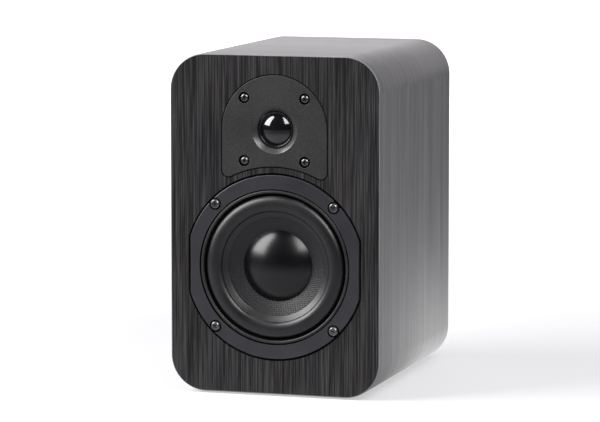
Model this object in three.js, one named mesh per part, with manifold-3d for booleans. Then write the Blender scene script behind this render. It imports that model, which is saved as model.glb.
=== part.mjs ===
// Two-way bookshelf loudspeaker, built as the pieces it comes apart into.
// Millimetres. +Z is up and -Y is the front. The origin is on the surface that the
// speaker stands on, under the middle of its bounding box.
// Inside the groups, y is the depth behind the front face of the cabinet.

import * as THREE from 'three';
import { mergeVertices } from 'three/addons/utils/BufferGeometryUtils.js';
import Module from 'manifold-3d';

const wasm = await Module();
wasm.setup();

// ---------------------------------------------------------------- driving dimensions

const CABINET = { width: 170, height: 265, depth: 208, corner: 28 };
const FOOT = { height: 1.5, radius: 8, fromSide: 37, fromEnd: 20 };
const SKIN = 0.8; // vinyl wrap
const VENEER = 1.2; // wood face
const WALL = 15; // MDF of the sleeve
const BAFFLE = 18; // MDF of the front board
const BACK = 15; // MDF of the rear panel
const GLUE = 0.1; // gap left at every glued or screwed face

const WOOFER = { z: 100, proud: 1, flange: 72, flat: 68.5, plate: 4, hole: 59.7 };
const WOOFER_SCREW = { ring: 68, head: 3.9, crown: 2, seat: 0.6, shank: 2, length: 20 };
const WOOFER_COIL = { pole: 11.8, inner: 12.4, former: 13, winding: 13.6, gap: 14.2 };
const GASKET = 0.9;

const TWEETER = { z: 207, proud: 0.3, halfWidth: 42.5, plate: 4, hole: 31.2, corner: 5 };
const TWEETER_SCREW = { offset: 24.5, head: 3.5, crown: 1.8, seat: 2, shank: 1.6, length: 16 };
const TWEETER_COIL = { pole: 11.7, inner: 12, outer: 12.8, gap: 13.4 };
const PLATE_GAP = 6.5; // wood left between the woofer flange and the tweeter plate
const FLANGE_FIT = 1.1; // clearance of the woofer flange in its rebate
const PLATE_FIT = 0.6; // clearance of the tweeter plate in its rebate
const THROUGH = 30; // how far a cutting tool reaches past a board
const AHEAD = 1; // how far a cutting tool starts in front of a face
const PAD = { height: 18, side: 4, corner: 8, top: 1, front: 6, back: 4 }; // wadding and its gaps

const PORT = { z: 196, bore: 17.5, wall: 2.5, length: 100, flange: 31, lip: 2.8, mouth: 26 };
const CUP = { z: 78, width: 84, height: 66, lip: 2.6, well: 24, wall: 2, corner: 6, rim: 9 };
const POST = { pitch: 19.05, radius: 3, bore: 2.05, tail: 2.4, out: 21, collar: 7.2 };
const NUT = { radius: 6.6, length: 12, flutes: 12, bore: 3.2, washer: 1.2 };
const CUP_SCREW = { head: 3, crown: 1.7, shank: 1.5, length: 13 };

const PANEL_FIT = 0.3; // clearance of the port flange and the tray in the rear panel
const SCREW_FIT = 0.3; // clearance of a screw's shank in the piece it holds
const HEAD_FIT = 0.4; // clearance of a screw's head in its seat
const TRIM = { inner: 57.8, outer: 60.1, front: 0.25, back: 2.4, round: 0.7 };
const LEDGE = { inner: 56.4, outer: 60.9, depth: 3.4 }; // step that the surround sits on
const BASKET = { wall: 59, shoulder: 9, neck: 45, neckDepth: 30, inner: 40, seat: 31.5, bore: 24 };
const WINDOW = { start: 11.5, end: 28.5, spoke: 16 };
const CAP = { height: 9.6, thick: 0.9, sink: 0.4 };
const TAB = { width: 5, depth: 8, thick: 0.8, offset: 7, z: -46.8 };
const TWEETER_MOTOR = { start: 5, plateEnd: 8, magnetEnd: 18.1, yokeEnd: 22.2 };
const TWEETER_RING = { plate: 29.5, magnetInner: 16.5, magnet: 28.5, yoke: 27.5, bore: 4 };
const CAN = { radius: 20, inner: 18.4, floor: 34.6, end: 36 };
const PORT_FLARE = 12; // depth over which the mouth of the port widens
const PORT_COLLAR = 4.5; // how far the port's collar stands out from its bore

const WOOFER_CHOKE = { radius: 17, bore: 7, length: 18, x: -26, y: -14 };
const TWEETER_CHOKE = { radius: 11, bore: 5, length: 12, x: 30, y: -20 };
const WOOFER_FILM = { radius: 8, length: 34, x: -26, y: 18 };
const TWEETER_FILM = { radius: 6.5, length: 28, x: 26, y: 18 };
const RESISTOR = { radius: 3.4, bore: 1.2, length: 22, x: 26, y: 2 };
const REST = 0.3; // gap under a part that stands on the board

const BOARD = { width: 96, depth: 74, thick: 1.6, spacer: 5, y: 132 };
const LEAD = 1.8; // radius of a twin lead inside the box

const ROUND = 32; // sides of a large round piece
const ARC = 5; // half the segments in a corner of an outline
const FLANGE_ARC = 10; // half the segments in each arc of the woofer flange
const ARCH_ARC = 8; // half the segments in each arc of the tweeter plate
const SMALL = 14; // sides of a small round piece

// Depth of each plane of the box behind its front face.
const baffleFront = VENEER + GLUE;
const baffleBack = baffleFront + BAFFLE;
const panelFront = CABINET.depth - BACK;
const floorTop = FOOT.height + SKIN + GLUE + WALL;
const innerHalfWidth = CABINET.width / 2 - SKIN - GLUE - WALL;
const cabinetMiddle = FOOT.height + CABINET.height / 2;
const wooferZ = FOOT.height + WOOFER.z;
const tweeterZ = FOOT.height + TWEETER.z;
const portZ = FOOT.height + PORT.z;
const cupZ = FOOT.height + CUP.z;

// The screw heads stand furthest forward, so they set the front of the bounding box.
const frontReach = WOOFER.proud + WOOFER_SCREW.crown - WOOFER_SCREW.seat;

// ---------------------------------------------------------------- materials

function finish(color, roughness, metalness) {
  return new THREE.MeshStandardMaterial({ color, roughness, metalness });
}

const vinyl = finish(0x77777a, 0.45, 0.1);
const woodFace = finish(0x3c3b3b, 0.55, 0);
const mdf = finish(0xa58560, 0.85, 0);
const darkBoard = finish(0x1d1d1f, 0.7, 0);
const rubber = finish(0x1c1c1e, 0.6, 0);
const foam = finish(0x26262a, 0.95, 0);
const wool = finish(0xe4e2da, 1, 0);
const castFrame = finish(0x3f4045, 0.5, 0.3);
const plateFinish = finish(0x38383a, 0.6, 0.1);
const coneFinish = finish(0x2a2a2c, 0.5, 0);
const capFinish = finish(0x101012, 0.12, 0);
const spiderCloth = finish(0xc9a24c, 0.9, 0);
const steel = finish(0x9a9ca0, 0.35, 1);
const ferrite = finish(0x2b2b2d, 0.7, 0.1);
const copper = finish(0xb06a3a, 0.4, 0.8);
const plastic = finish(0x161618, 0.45, 0);
const redPlastic = finish(0xa01818, 0.35, 0);
const gold = finish(0xd0a850, 0.3, 1);
const screwFinish = finish(0x2c2c2f, 0.35, 0.8);
const circuitBoard = finish(0x1f4a33, 0.5, 0);
const film = finish(0xc8a018, 0.4, 0);
const leadFinish = finish(0x8a2020, 0.55, 0);

// ---------------------------------------------------------------- shapes

// A merged copy of a geometry with position only and no collapsed triangles.
function welded(geometry) {
  const bare = geometry.clone();
  bare.deleteAttribute('normal');
  bare.deleteAttribute('uv');
  const merged = mergeVertices(bare, 1e-4);
  const kept = [];
  const index = merged.index.array;
  for (let i = 0; i < index.length; i += 3) {
    const [a, b, c] = [index[i], index[i + 1], index[i + 2]];
    if (a !== b && b !== c && a !== c) {
      kept.push(a, b, c);
    }
  }
  merged.setIndex(kept);
  return merged;
}

function toSolid(geometry) {
  const merged = welded(geometry);
  const vertProperties = new Float32Array(merged.attributes.position.array);
  const triVerts = new Uint32Array(merged.index.array);
  return new wasm.Manifold(new wasm.Mesh({ numProp: 3, vertProperties, triVerts }));
}

function toGeometry(solid) {
  const mesh = solid.getMesh();
  const geometry = new THREE.BufferGeometry();
  geometry.setAttribute('position', new THREE.BufferAttribute(mesh.vertProperties, 3));
  geometry.setIndex(new THREE.BufferAttribute(mesh.triVerts, 1));
  return geometry;
}

// The first geometry with the second list cut away and the third list joined on.
function shaped(base, cuts, joins = []) {
  let solid = toSolid(base);
  for (const piece of joins) {
    solid = solid.add(toSolid(piece));
  }
  for (const tool of cuts) {
    solid = solid.subtract(toSolid(tool));
  }
  return toGeometry(solid);
}

// A round piece about the y axis. The profile is [radius, depth] points that
// either close on themselves or start and end on the axis.
function turned(profile, sides = ROUND) {
  const onAxis = profile[0][0] === 0;
  const points = profile.map(([radius, depth]) => new THREE.Vector2(radius, depth));
  if (!onAxis) {
    points.push(points[0].clone());
  }
  let doubledArea = 0;
  for (let i = 0; i < profile.length; i += 1) {
    const [r0, d0] = profile[i];
    const [r1, d1] = profile[(i + 1) % profile.length];
    doubledArea += r0 * d1 - r1 * d0;
  }
  if (doubledArea < 0) {
    points.reverse();
  }
  return welded(new THREE.LatheGeometry(points, sides));
}

function rod(radius, start, end, sides = SMALL) {
  return turned([[0, start], [radius, start], [radius, end], [0, end]], sides);
}

function ring(inner, outer, start, end, sides = ROUND) {
  return turned([[inner, start], [outer, start], [outer, end], [inner, end]], sides);
}

// Points of an arc of an ellipse in a profile, from one angle to another in degrees.
function bow(centre, radii, from, to, steps) {
  const points = [];
  for (let i = 0; i <= steps; i += 1) {
    const angle = THREE.MathUtils.degToRad(from + ((to - from) * i) / steps);
    points.push([centre[0] + radii[0] * Math.cos(angle), centre[1] + radii[1] * Math.sin(angle)]);
  }
  return points;
}

// A flat piece whose outline lies in the x-z plane, between two depths.
function slab(outline, start, end, curveSegments = ARC) {
  const options = { depth: end - start, bevelEnabled: false, curveSegments };
  const geometry = new THREE.ExtrudeGeometry(outline, options);
  geometry.rotateX(Math.PI / 2);
  geometry.translate(0, end, 0);
  return geometry;
}

function block(width, depth, height, x, y, z) {
  const geometry = new THREE.BoxGeometry(width, depth, height);
  geometry.translate(x, y, z);
  return geometry;
}

function roundedRectangle(width, height, radius, middle = 0, Path = THREE.Shape) {
  const path = new Path();
  const x = width / 2 - radius;
  const z = height / 2 - radius;
  const quarter = Math.PI / 2;
  path.absarc(x, middle - z, radius, -quarter, 0, false);
  path.absarc(x, middle + z, radius, 0, quarter, false);
  path.absarc(-x, middle + z, radius, quarter, 2 * quarter, false);
  path.absarc(-x, middle - z, radius, 2 * quarter, 3 * quarter, false);
  path.closePath();
  return path;
}

// The outline of the box, moved inwards all round.
function boxOutline(inset, Path = THREE.Shape) {
  const width = CABINET.width - 2 * inset;
  const height = CABINET.height - 2 * inset;
  return roundedRectangle(width, height, CABINET.corner - inset, cabinetMiddle, Path);
}

// A round outline with a flat on its left and its right, moved outwards by grow.
function flattedCircle(radius, flat, grow, Path = THREE.Shape) {
  const path = new Path();
  const cut = Math.acos((flat + grow) / (radius + grow));
  path.absarc(0, 0, radius + grow, cut, Math.PI - cut, false);
  path.absarc(0, 0, radius + grow, Math.PI + cut, 2 * Math.PI - cut, false);
  path.closePath();
  return path;
}

// The arched plate: a half circle on top, straight sides, rounded lower corners and
// a hollow lower edge that follows the woofer flange. Measured from the dome's axis.
function archOutline(grow, Path = THREE.Shape) {
  const path = new Path();
  const half = TWEETER.halfWidth + grow;
  const drop = TWEETER.z - WOOFER.z;
  const hollow = WOOFER.flange + PLATE_GAP - grow;
  const corner = TWEETER.corner + grow;
  const cornerX = half - corner;
  const cornerZ = Math.sqrt((hollow + corner) ** 2 - cornerX ** 2) - drop;
  const lean = Math.atan2(cornerZ + drop, cornerX);
  path.absarc(0, 0, half, 0, Math.PI, false);
  path.absarc(-cornerX, cornerZ, corner, Math.PI, 2 * Math.PI - lean, false);
  path.absarc(0, -drop, hollow, Math.PI - lean, lean, true);
  path.absarc(cornerX, cornerZ, corner, Math.PI + lean, 2 * Math.PI, false);
  path.closePath();
  return path;
}

function moved(geometry, x, y, z) {
  return geometry.clone().translate(x, y, z);
}

// The four places of a rectangular set of fasteners.
function corners(x, z) {
  return [[-x, z], [x, z], [x, -z], [-x, -z]];
}

const wooferScrewAt = corners(WOOFER_SCREW.ring * Math.SQRT1_2, WOOFER_SCREW.ring * Math.SQRT1_2);
const tweeterScrewAt = corners(TWEETER_SCREW.offset, TWEETER_SCREW.offset);
const cupScrewAt = corners(CUP.width / 2 - CUP.rim / 2, CUP.height / 2 - CUP.rim / 2);

// ---------------------------------------------------------------- scene graph

const speaker = new THREE.Group();
speaker.name = 'bookshelf_speaker';
speaker.position.y = -(CABINET.depth - frontReach) / 2;

const cabinet = new THREE.Group();
const woofer = new THREE.Group();
const tweeter = new THREE.Group();
const back = new THREE.Group();
woofer.position.set(0, -WOOFER.proud, wooferZ);
tweeter.position.set(0, -TWEETER.proud, tweeterZ);
speaker.add(cabinet, woofer, tweeter, back);

function put(group, name, geometry, material, x = 0, y = 0, z = 0) {
  const mesh = new THREE.Mesh(geometry, material);
  mesh.name = name;
  mesh.position.set(x, y, z);
  group.add(mesh);
  return mesh;
}

// ---------------------------------------------------------------- cabinet

function buildCabinet() {
  const face = boxOutline(0);
  const wooferOpening = slab(
    flattedCircle(WOOFER.flange, WOOFER.flat, FLANGE_FIT), -AHEAD, THROUGH, FLANGE_ARC);
  const tweeterOpening = slab(archOutline(PLATE_FIT), -AHEAD, THROUGH, ARCH_ARC);
  const veneer = shaped(slab(face, 0, VENEER), [
    moved(wooferOpening, 0, 0, wooferZ),
    moved(tweeterOpening, 0, 0, tweeterZ),
  ]);
  put(cabinet, 'front_veneer', veneer, woodFace);

  const wrap = boxOutline(0);
  wrap.holes.push(boxOutline(SKIN, THREE.Path));
  put(cabinet, 'cabinet_wrap', slab(wrap, VENEER + GLUE, CABINET.depth), vinyl);

  const wooferRebate = WOOFER.plate - WOOFER.proud + GASKET + 2 * GLUE;
  const tweeterRebate = TWEETER.plate - TWEETER.proud + GLUE;
  const wooferSeat = slab(
    flattedCircle(WOOFER.flange, WOOFER.flat, FLANGE_FIT), -AHEAD, wooferRebate, FLANGE_ARC);
  const tweeterSeat = slab(archOutline(PLATE_FIT), -AHEAD, tweeterRebate, ARCH_ARC);
  const cuts = [
    moved(wooferSeat, 0, 0, wooferZ),
    moved(tweeterSeat, 0, 0, tweeterZ),
    moved(rod(WOOFER.hole, -AHEAD, THROUGH, ROUND), 0, 0, wooferZ),
    moved(rod(TWEETER.hole, -AHEAD, THROUGH, ROUND), 0, 0, tweeterZ),
  ];
  for (const [x, z] of wooferScrewAt) {
    cuts.push(moved(rod(WOOFER_SCREW.shank + GLUE, -AHEAD, THROUGH, 12), x, 0, wooferZ + z));
  }
  for (const [x, z] of tweeterScrewAt) {
    cuts.push(moved(rod(TWEETER_SCREW.shank + GLUE, -AHEAD, THROUGH, 12), x, 0, tweeterZ + z));
  }
  const board = slab(boxOutline(SKIN + GLUE), baffleFront, baffleBack);
  put(cabinet, 'front_baffle', shaped(board, cuts), mdf);

  const tube = boxOutline(SKIN + GLUE);
  tube.holes.push(boxOutline(SKIN + GLUE + WALL, THREE.Path));
  put(cabinet, 'cabinet_sleeve', slab(tube, baffleBack + GLUE, CABINET.depth), mdf);

  const cupOpening = roundedRectangle(
    CUP.width - 2 * CUP.rim + 1, CUP.height - 2 * CUP.rim + 1, CUP.corner);
  const cupSeat = roundedRectangle(
    CUP.width + 2 * PANEL_FIT, CUP.height + 2 * PANEL_FIT, CUP.corner + PANEL_FIT);
  const far = CABINET.depth + AHEAD;
  const panelCuts = [
    moved(rod(PORT.flange + PANEL_FIT, CABINET.depth - PORT.lip - GLUE, far, 40), 0, 0, portZ),
    moved(rod(PORT.bore + PORT_COLLAR + PANEL_FIT, panelFront - AHEAD, far, 40), 0, 0, portZ),
    moved(slab(cupSeat, CABINET.depth - CUP.lip - GLUE, far, 6), 0, 0, cupZ),
    moved(slab(cupOpening, panelFront - AHEAD, far, 6), 0, 0, cupZ),
  ];
  for (const [x, z] of cupScrewAt) {
    const pilot = rod(CUP_SCREW.shank + GLUE, CABINET.depth - CUP_SCREW.length - 1, far, 10);
    panelCuts.push(moved(pilot, x, 0, cupZ + z));
  }
  const panel = slab(boxOutline(SKIN + WALL + 2 * GLUE), panelFront, CABINET.depth);
  put(cabinet, 'rear_panel', shaped(panel, panelCuts), darkBoard);

  const padTop = FOOT.height + CABINET.height - SKIN - WALL - PAD.top;
  const pad = roundedRectangle(2 * (innerHalfWidth - PAD.side), PAD.height, PAD.corner);
  put(cabinet, 'damping_wadding', slab(pad, baffleBack + PAD.front, panelFront - PAD.back, 4),
    wool, 0, 0, padTop - PAD.height / 2);

  const footX = CABINET.width / 2 - FOOT.fromSide;
  let number = 1;
  for (const y of [FOOT.fromEnd, CABINET.depth - FOOT.fromEnd]) {
    for (const x of [-footX, footX]) {
      const foot = new THREE.CylinderGeometry(FOOT.radius, FOOT.radius, FOOT.height, 20);
      foot.rotateX(Math.PI / 2);
      put(cabinet, `foot_${number}`, foot, rubber, x, y, FOOT.height / 2);
      number += 1;
    }
  }
}

// ---------------------------------------------------------------- screws

// A screw along y, its seat at depth 0, its head in front, with a cross recess.
function screw(size, domed) {
  const crown = domed ? 0.35 * size.head : 0;
  const profile = [
    [0, -size.crown],
    [size.head - crown - 0.3, -size.crown],
    [size.head, -size.crown + 0.3 + crown * 0.6],
    [size.head, 0],
    [size.shank, 0],
    [size.shank, size.length - 2],
    [0, size.length],
  ];
  const wide = size.head * 1.05;
  const slot = size.head * 0.24;
  const recess = 1.2;
  const y = -size.crown + recess / 2 - 0.5;
  return shaped(turned(profile, 12), [
    block(wide, recess + 1, slot, 0, y, 0),
    block(slot, recess + 1, wide, 0, y, 0),
  ]);
}

function screwHole(size, seat, through) {
  return [
    rod(size.head + HEAD_FIT, -5, seat, 16),
    rod(size.shank + SCREW_FIT, -5, through, 12),
  ];
}

// ---------------------------------------------------------------- woofer

const SURROUND = { outer: 56.3, inner: 43.1, base: 2.9, crown: 3.9, thick: 0.8 };
const CONE = { rim: 43.2, rimDepth: 3.95, capRadius: 26, slope: 0.424, neckDepth: 21.6 };
const SPIDER = { depth: 30.2, outer: 42.2, waves: 3, swell: 1 };
const MOTOR = { seat: 44, plate: 6, magnet: 15, back: 6, plateRadius: 40, magnetRadius: 42 };

function buildWoofer() {
  const bodyProfile = [
    [LEDGE.outer, 0],
    [WOOFER.flange - 0.7, 0],
    [WOOFER.flange, 0.7],
    [WOOFER.flange, WOOFER.plate],
    [BASKET.wall, WOOFER.plate],
    [BASKET.wall, BASKET.shoulder],
    [BASKET.neck, BASKET.neckDepth],
    [BASKET.neck, MOTOR.seat],
    [BASKET.bore, MOTOR.seat],
    [BASKET.bore, MOTOR.seat - 2.5],
    [BASKET.inner, MOTOR.seat - 2.5],
    [BASKET.inner, BASKET.seat],
    [BASKET.inner + 2.8, BASKET.seat],
    [BASKET.inner + 2.8, BASKET.seat - 2],
    [LEDGE.inner, BASKET.shoulder],
    [LEDGE.inner, LEDGE.depth],
    [LEDGE.outer, LEDGE.depth],
  ];
  const spokes = [45, 135].map((degrees) => {
    const bar = block(2 * WOOFER.flange, 60, WINDOW.spoke, 0, 20, 0);
    return bar.rotateY(THREE.MathUtils.degToRad(degrees));
  });
  const windows = shaped(ring(30, 80, WINDOW.start, WINDOW.end), spokes);
  const flats = [-1, 1].map((side) => block(20, 20, 160, side * (WOOFER.flat + 10), 0, 0));
  const basketCuts = [windows, ...flats];
  for (const [x, z] of wooferScrewAt) {
    for (const tool of screwHole(WOOFER_SCREW, WOOFER_SCREW.seat, 10)) {
      basketCuts.push(moved(tool, x, 0, z));
    }
  }
  put(woofer, 'woofer_basket', shaped(turned(bodyProfile), basketCuts), castFrame);

  const gasketStart = WOOFER.plate + GLUE;
  const gasketOutline = flattedCircle(WOOFER.flange, WOOFER.flat, -0.4);
  const inside = new THREE.Path();
  inside.absarc(0, 0, WOOFER.hole + 0.9, 0, 2 * Math.PI, true);
  gasketOutline.holes.push(inside);
  const gasketHoles = wooferScrewAt.map(([x, z]) =>
    moved(rod(WOOFER_SCREW.shank + SCREW_FIT, 0, 10, 12), x, 0, z));
  const gasket = shaped(slab(gasketOutline, gasketStart, gasketStart + GASKET, FLANGE_ARC), gasketHoles);
  put(woofer, 'woofer_gasket', gasket, foam);

  const rim = [
    [TRIM.inner, TRIM.back],
    [TRIM.inner, TRIM.front + TRIM.round],
    [TRIM.inner + TRIM.round, TRIM.front],
    [TRIM.outer - TRIM.round, TRIM.front],
    [TRIM.outer, TRIM.front + TRIM.round],
    [TRIM.outer, TRIM.back],
  ];
  put(woofer, 'woofer_trim_ring', turned(rim), plastic);

  const middle = (SURROUND.outer + SURROUND.inner) / 2;
  const reach = (SURROUND.outer - SURROUND.inner) / 2;
  const front = bow([middle, SURROUND.base], [reach, SURROUND.crown], 0, -180, 5);
  const inner = [reach - SURROUND.thick, SURROUND.crown - SURROUND.thick];
  const behind = bow([middle, SURROUND.base], inner, -180, 0, 4);
  const roll = [[60.1, 2.5], [56.4, 2.5], ...front, [39, 4.75], [39, 5.5], [43.1, 3.75],
    ...behind, [55.5, 3.3], [60.1, 3.3]];
  put(woofer, 'woofer_surround', turned(roll), rubber);

  const capDepth = CONE.rimDepth + (CONE.rim - CONE.capRadius) * CONE.slope;
  const cone = [
    [CONE.rim, CONE.rimDepth],
    [CONE.capRadius, capDepth],
    [18.5, capDepth + 4.9],
    [WOOFER_COIL.former + GLUE, CONE.neckDepth],
    [WOOFER_COIL.former + GLUE, CONE.neckDepth + 1.6],
    [19, capDepth + 6.1],
    [CONE.capRadius + 0.2, capDepth + 1.1],
    [CONE.rim, CONE.rimDepth + 1.1],
  ];
  put(woofer, 'woofer_cone', turned(cone), coneFinish);

  const capRim = capDepth - CAP.sink;
  const dome = bow([0, capRim], [CONE.capRadius, CAP.height], -90, 0, 5);
  const hollow = bow(
    [0, capRim], [CONE.capRadius - CAP.thick, CAP.height - CAP.thick], 0, -90, 5);
  const cap = [...dome.map(([r, d]) => [Math.max(r, 0), d]),
    ...hollow.map(([r, d]) => [Math.max(r, 0), d])];
  cap[0][0] = 0;
  cap[cap.length - 1][0] = 0;
  put(woofer, 'woofer_dust_cap', turned(cap), capFinish);

  const windingStart = MOTOR.seat - 3;
  const windingEnd = MOTOR.seat + MOTOR.plate + 3;
  const coil = [
    [WOOFER_COIL.inner, CONE.neckDepth - 2],
    [WOOFER_COIL.former, CONE.neckDepth - 2],
    [WOOFER_COIL.former, windingStart],
    [WOOFER_COIL.winding, windingStart],
    [WOOFER_COIL.winding, windingEnd],
    [WOOFER_COIL.former, windingEnd],
    [WOOFER_COIL.former, windingEnd + 1],
    [WOOFER_COIL.inner, windingEnd + 1],
  ];
  put(woofer, 'woofer_voice_coil', turned(coil, 24), copper);

  const cloth = [];
  const clothInner = WOOFER_COIL.former + GLUE;
  const count = SPIDER.waves * 2;
  for (let i = 0; i <= count; i += 1) {
    const radius = clothInner + ((39 - clothInner) * i) / count;
    const lift = -SPIDER.swell * Math.cos(Math.PI * i);
    cloth.push([radius, SPIDER.depth + lift]);
  }
  cloth.push([SPIDER.outer, SPIDER.depth + 0.4]);
  const under = cloth.map(([radius, depth]) => [radius, depth + 0.7]).reverse();
  put(woofer, 'woofer_spider', turned([...cloth, ...under], 24), spiderCloth);

  const plateStart = MOTOR.seat + GLUE;
  const plateEnd = plateStart + MOTOR.plate;
  put(woofer, 'woofer_top_plate',
    ring(WOOFER_COIL.gap, MOTOR.plateRadius, plateStart, plateEnd), steel);
  const magnetStart = plateEnd + GLUE;
  const magnetEnd = magnetStart + MOTOR.magnet;
  put(woofer, 'woofer_magnet', ring(22, MOTOR.magnetRadius, magnetStart, magnetEnd), ferrite);
  const yokeStart = magnetEnd + GLUE;
  const yokeEnd = yokeStart + MOTOR.back;
  const yoke = [
    [4, plateStart - 1],
    [WOOFER_COIL.pole, plateStart - 1],
    [WOOFER_COIL.pole, yokeStart],
    [MOTOR.plateRadius, yokeStart],
    [MOTOR.plateRadius, yokeEnd - 1],
    [MOTOR.plateRadius - 1, yokeEnd],
    [6, yokeEnd],
    [4, yokeEnd - 2],
  ];
  put(woofer, 'woofer_yoke', turned(yoke), steel);

  const tabs = [-TAB.offset, TAB.offset].map((x) =>
    block(TAB.width, TAB.depth, TAB.thick, x, 43, TAB.z));
  put(woofer, 'woofer_terminals', shaped(block(24, 8, 2.6, 0, 36.5, -46.6), [], tabs), plastic);

  wooferScrewAt.forEach(([x, z], i) => {
    put(woofer, `woofer_screw_${i + 1}`, screw(WOOFER_SCREW, true), screwFinish,
      x, WOOFER_SCREW.seat, z);
  });
}

// ---------------------------------------------------------------- tweeter

const HORN = { mouth: 17.8, throat: 14.7, depth: 3.2 };
const DOME = { radius: 12.5, rimDepth: 4.7, height: 4.5 };

function buildTweeter() {
  const plate = slab(archOutline(0), 0, TWEETER.plate, ARCH_ARC);
  const horn = turned([[0, -1], [HORN.mouth + 1, -1], [HORN.mouth, 0],
    [HORN.throat, HORN.depth], [HORN.throat, 10], [0, 10]]);
  const plateCuts = [horn];
  for (const [x, z] of tweeterScrewAt) {
    for (const tool of screwHole(TWEETER_SCREW, TWEETER_SCREW.seat, 10)) {
      plateCuts.push(moved(tool, x, 0, z));
    }
  }
  put(tweeter, 'tweeter_faceplate', shaped(plate, plateCuts), plateFinish);

  const rollMiddle = DOME.radius + 1.15;
  const roll = [
    ...bow([rollMiddle, 4.6], [1.05, 1.1], -180, 0, 4),
    [14.75, 4.15], [17, 4.15], [17, 4.8], [14.5, 4.8],
    ...bow([rollMiddle, 4.7], [0.6, 0.7], 0, -180, 2),
  ];
  put(tweeter, 'tweeter_surround', turned(roll, 24), rubber);

  const dome = [
    ...bow([0, DOME.rimDepth], [DOME.radius, DOME.height], -90, 0, 5),
    ...bow([0, DOME.rimDepth], [DOME.radius - 0.5, DOME.height - 0.5], 0, -90, 4),
  ];
  dome[0][0] = 0;
  dome[dome.length - 1][0] = 0;
  put(tweeter, 'tweeter_dome', turned(dome, 28), capFinish);

  const { start, plateEnd, magnetEnd, yokeEnd } = TWEETER_MOTOR;
  put(tweeter, 'tweeter_voice_coil',
    ring(TWEETER_COIL.inner, TWEETER_COIL.outer, start + 0.2, plateEnd + 1.4, 32), copper);
  put(tweeter, 'tweeter_top_plate', ring(TWEETER_COIL.gap, TWEETER_RING.plate, start, plateEnd), steel);
  put(tweeter, 'tweeter_magnet',
    ring(TWEETER_RING.magnetInner, TWEETER_RING.magnet, plateEnd + GLUE, magnetEnd), ferrite);
  const yoke = [
    [TWEETER_RING.bore, start],
    [TWEETER_COIL.pole, start],
    [TWEETER_COIL.pole, magnetEnd + GLUE],
    [TWEETER_RING.yoke, magnetEnd + GLUE],
    [TWEETER_RING.yoke, yokeEnd],
    [TWEETER_RING.bore, yokeEnd],
  ];
  put(tweeter, 'tweeter_yoke', turned(yoke), steel);
  const can = [
    [0, CAN.floor],
    [CAN.inner, CAN.floor],
    [CAN.inner, yokeEnd + GLUE],
    [CAN.radius, yokeEnd + GLUE],
    [CAN.radius, CAN.end],
    [0, CAN.end],
  ];
  put(tweeter, 'tweeter_rear_chamber', turned(can, 36), plastic);

  tweeterScrewAt.forEach(([x, z], i) => {
    put(tweeter, `tweeter_screw_${i + 1}`, screw(TWEETER_SCREW, true), screwFinish,
      x, TWEETER_SCREW.seat, z);
  });
}

// ---------------------------------------------------------------- back of the box

function buildPort() {
  const end = CABINET.depth;
  const flare = bow([PORT.mouth, end - PORT_FLARE], [PORT.mouth - PORT.bore, PORT_FLARE], 180, 90, 4);
  const profile = [
    [PORT.bore, end - PORT.length],
    ...flare,
    [PORT.flange, end],
    [PORT.flange, end - PORT.lip],
    [PORT.bore + PORT_COLLAR, end - PORT.lip],
    [PORT.bore + PORT_COLLAR, end - BACK],
    [PORT.bore + PORT.wall, end - BACK - 4],
    [PORT.bore + PORT.wall, end - PORT.length],
  ];
  put(back, 'port_tube', turned(profile, 32), plastic, 0, 0, portZ);
}

// The fluted grip of a thumb nut, bored through along y.
function flutedNut() {
  const outline = new THREE.Shape();
  const steps = NUT.flutes * 3;
  for (let i = 0; i < steps; i += 1) {
    const angle = (2 * Math.PI * i) / steps;
    const radius = NUT.radius - 0.45 * (1 - Math.cos(NUT.flutes * angle)) / 2;
    const point = [radius * Math.cos(angle), radius * Math.sin(angle)];
    if (i === 0) {
      outline.moveTo(...point);
    } else {
      outline.lineTo(...point);
    }
  }
  outline.closePath();
  const bore = new THREE.Path();
  bore.absarc(0, 0, NUT.bore, 0, 2 * Math.PI, true);
  outline.holes.push(bore);
  return slab(outline, 0, NUT.length, 8);
}

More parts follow.
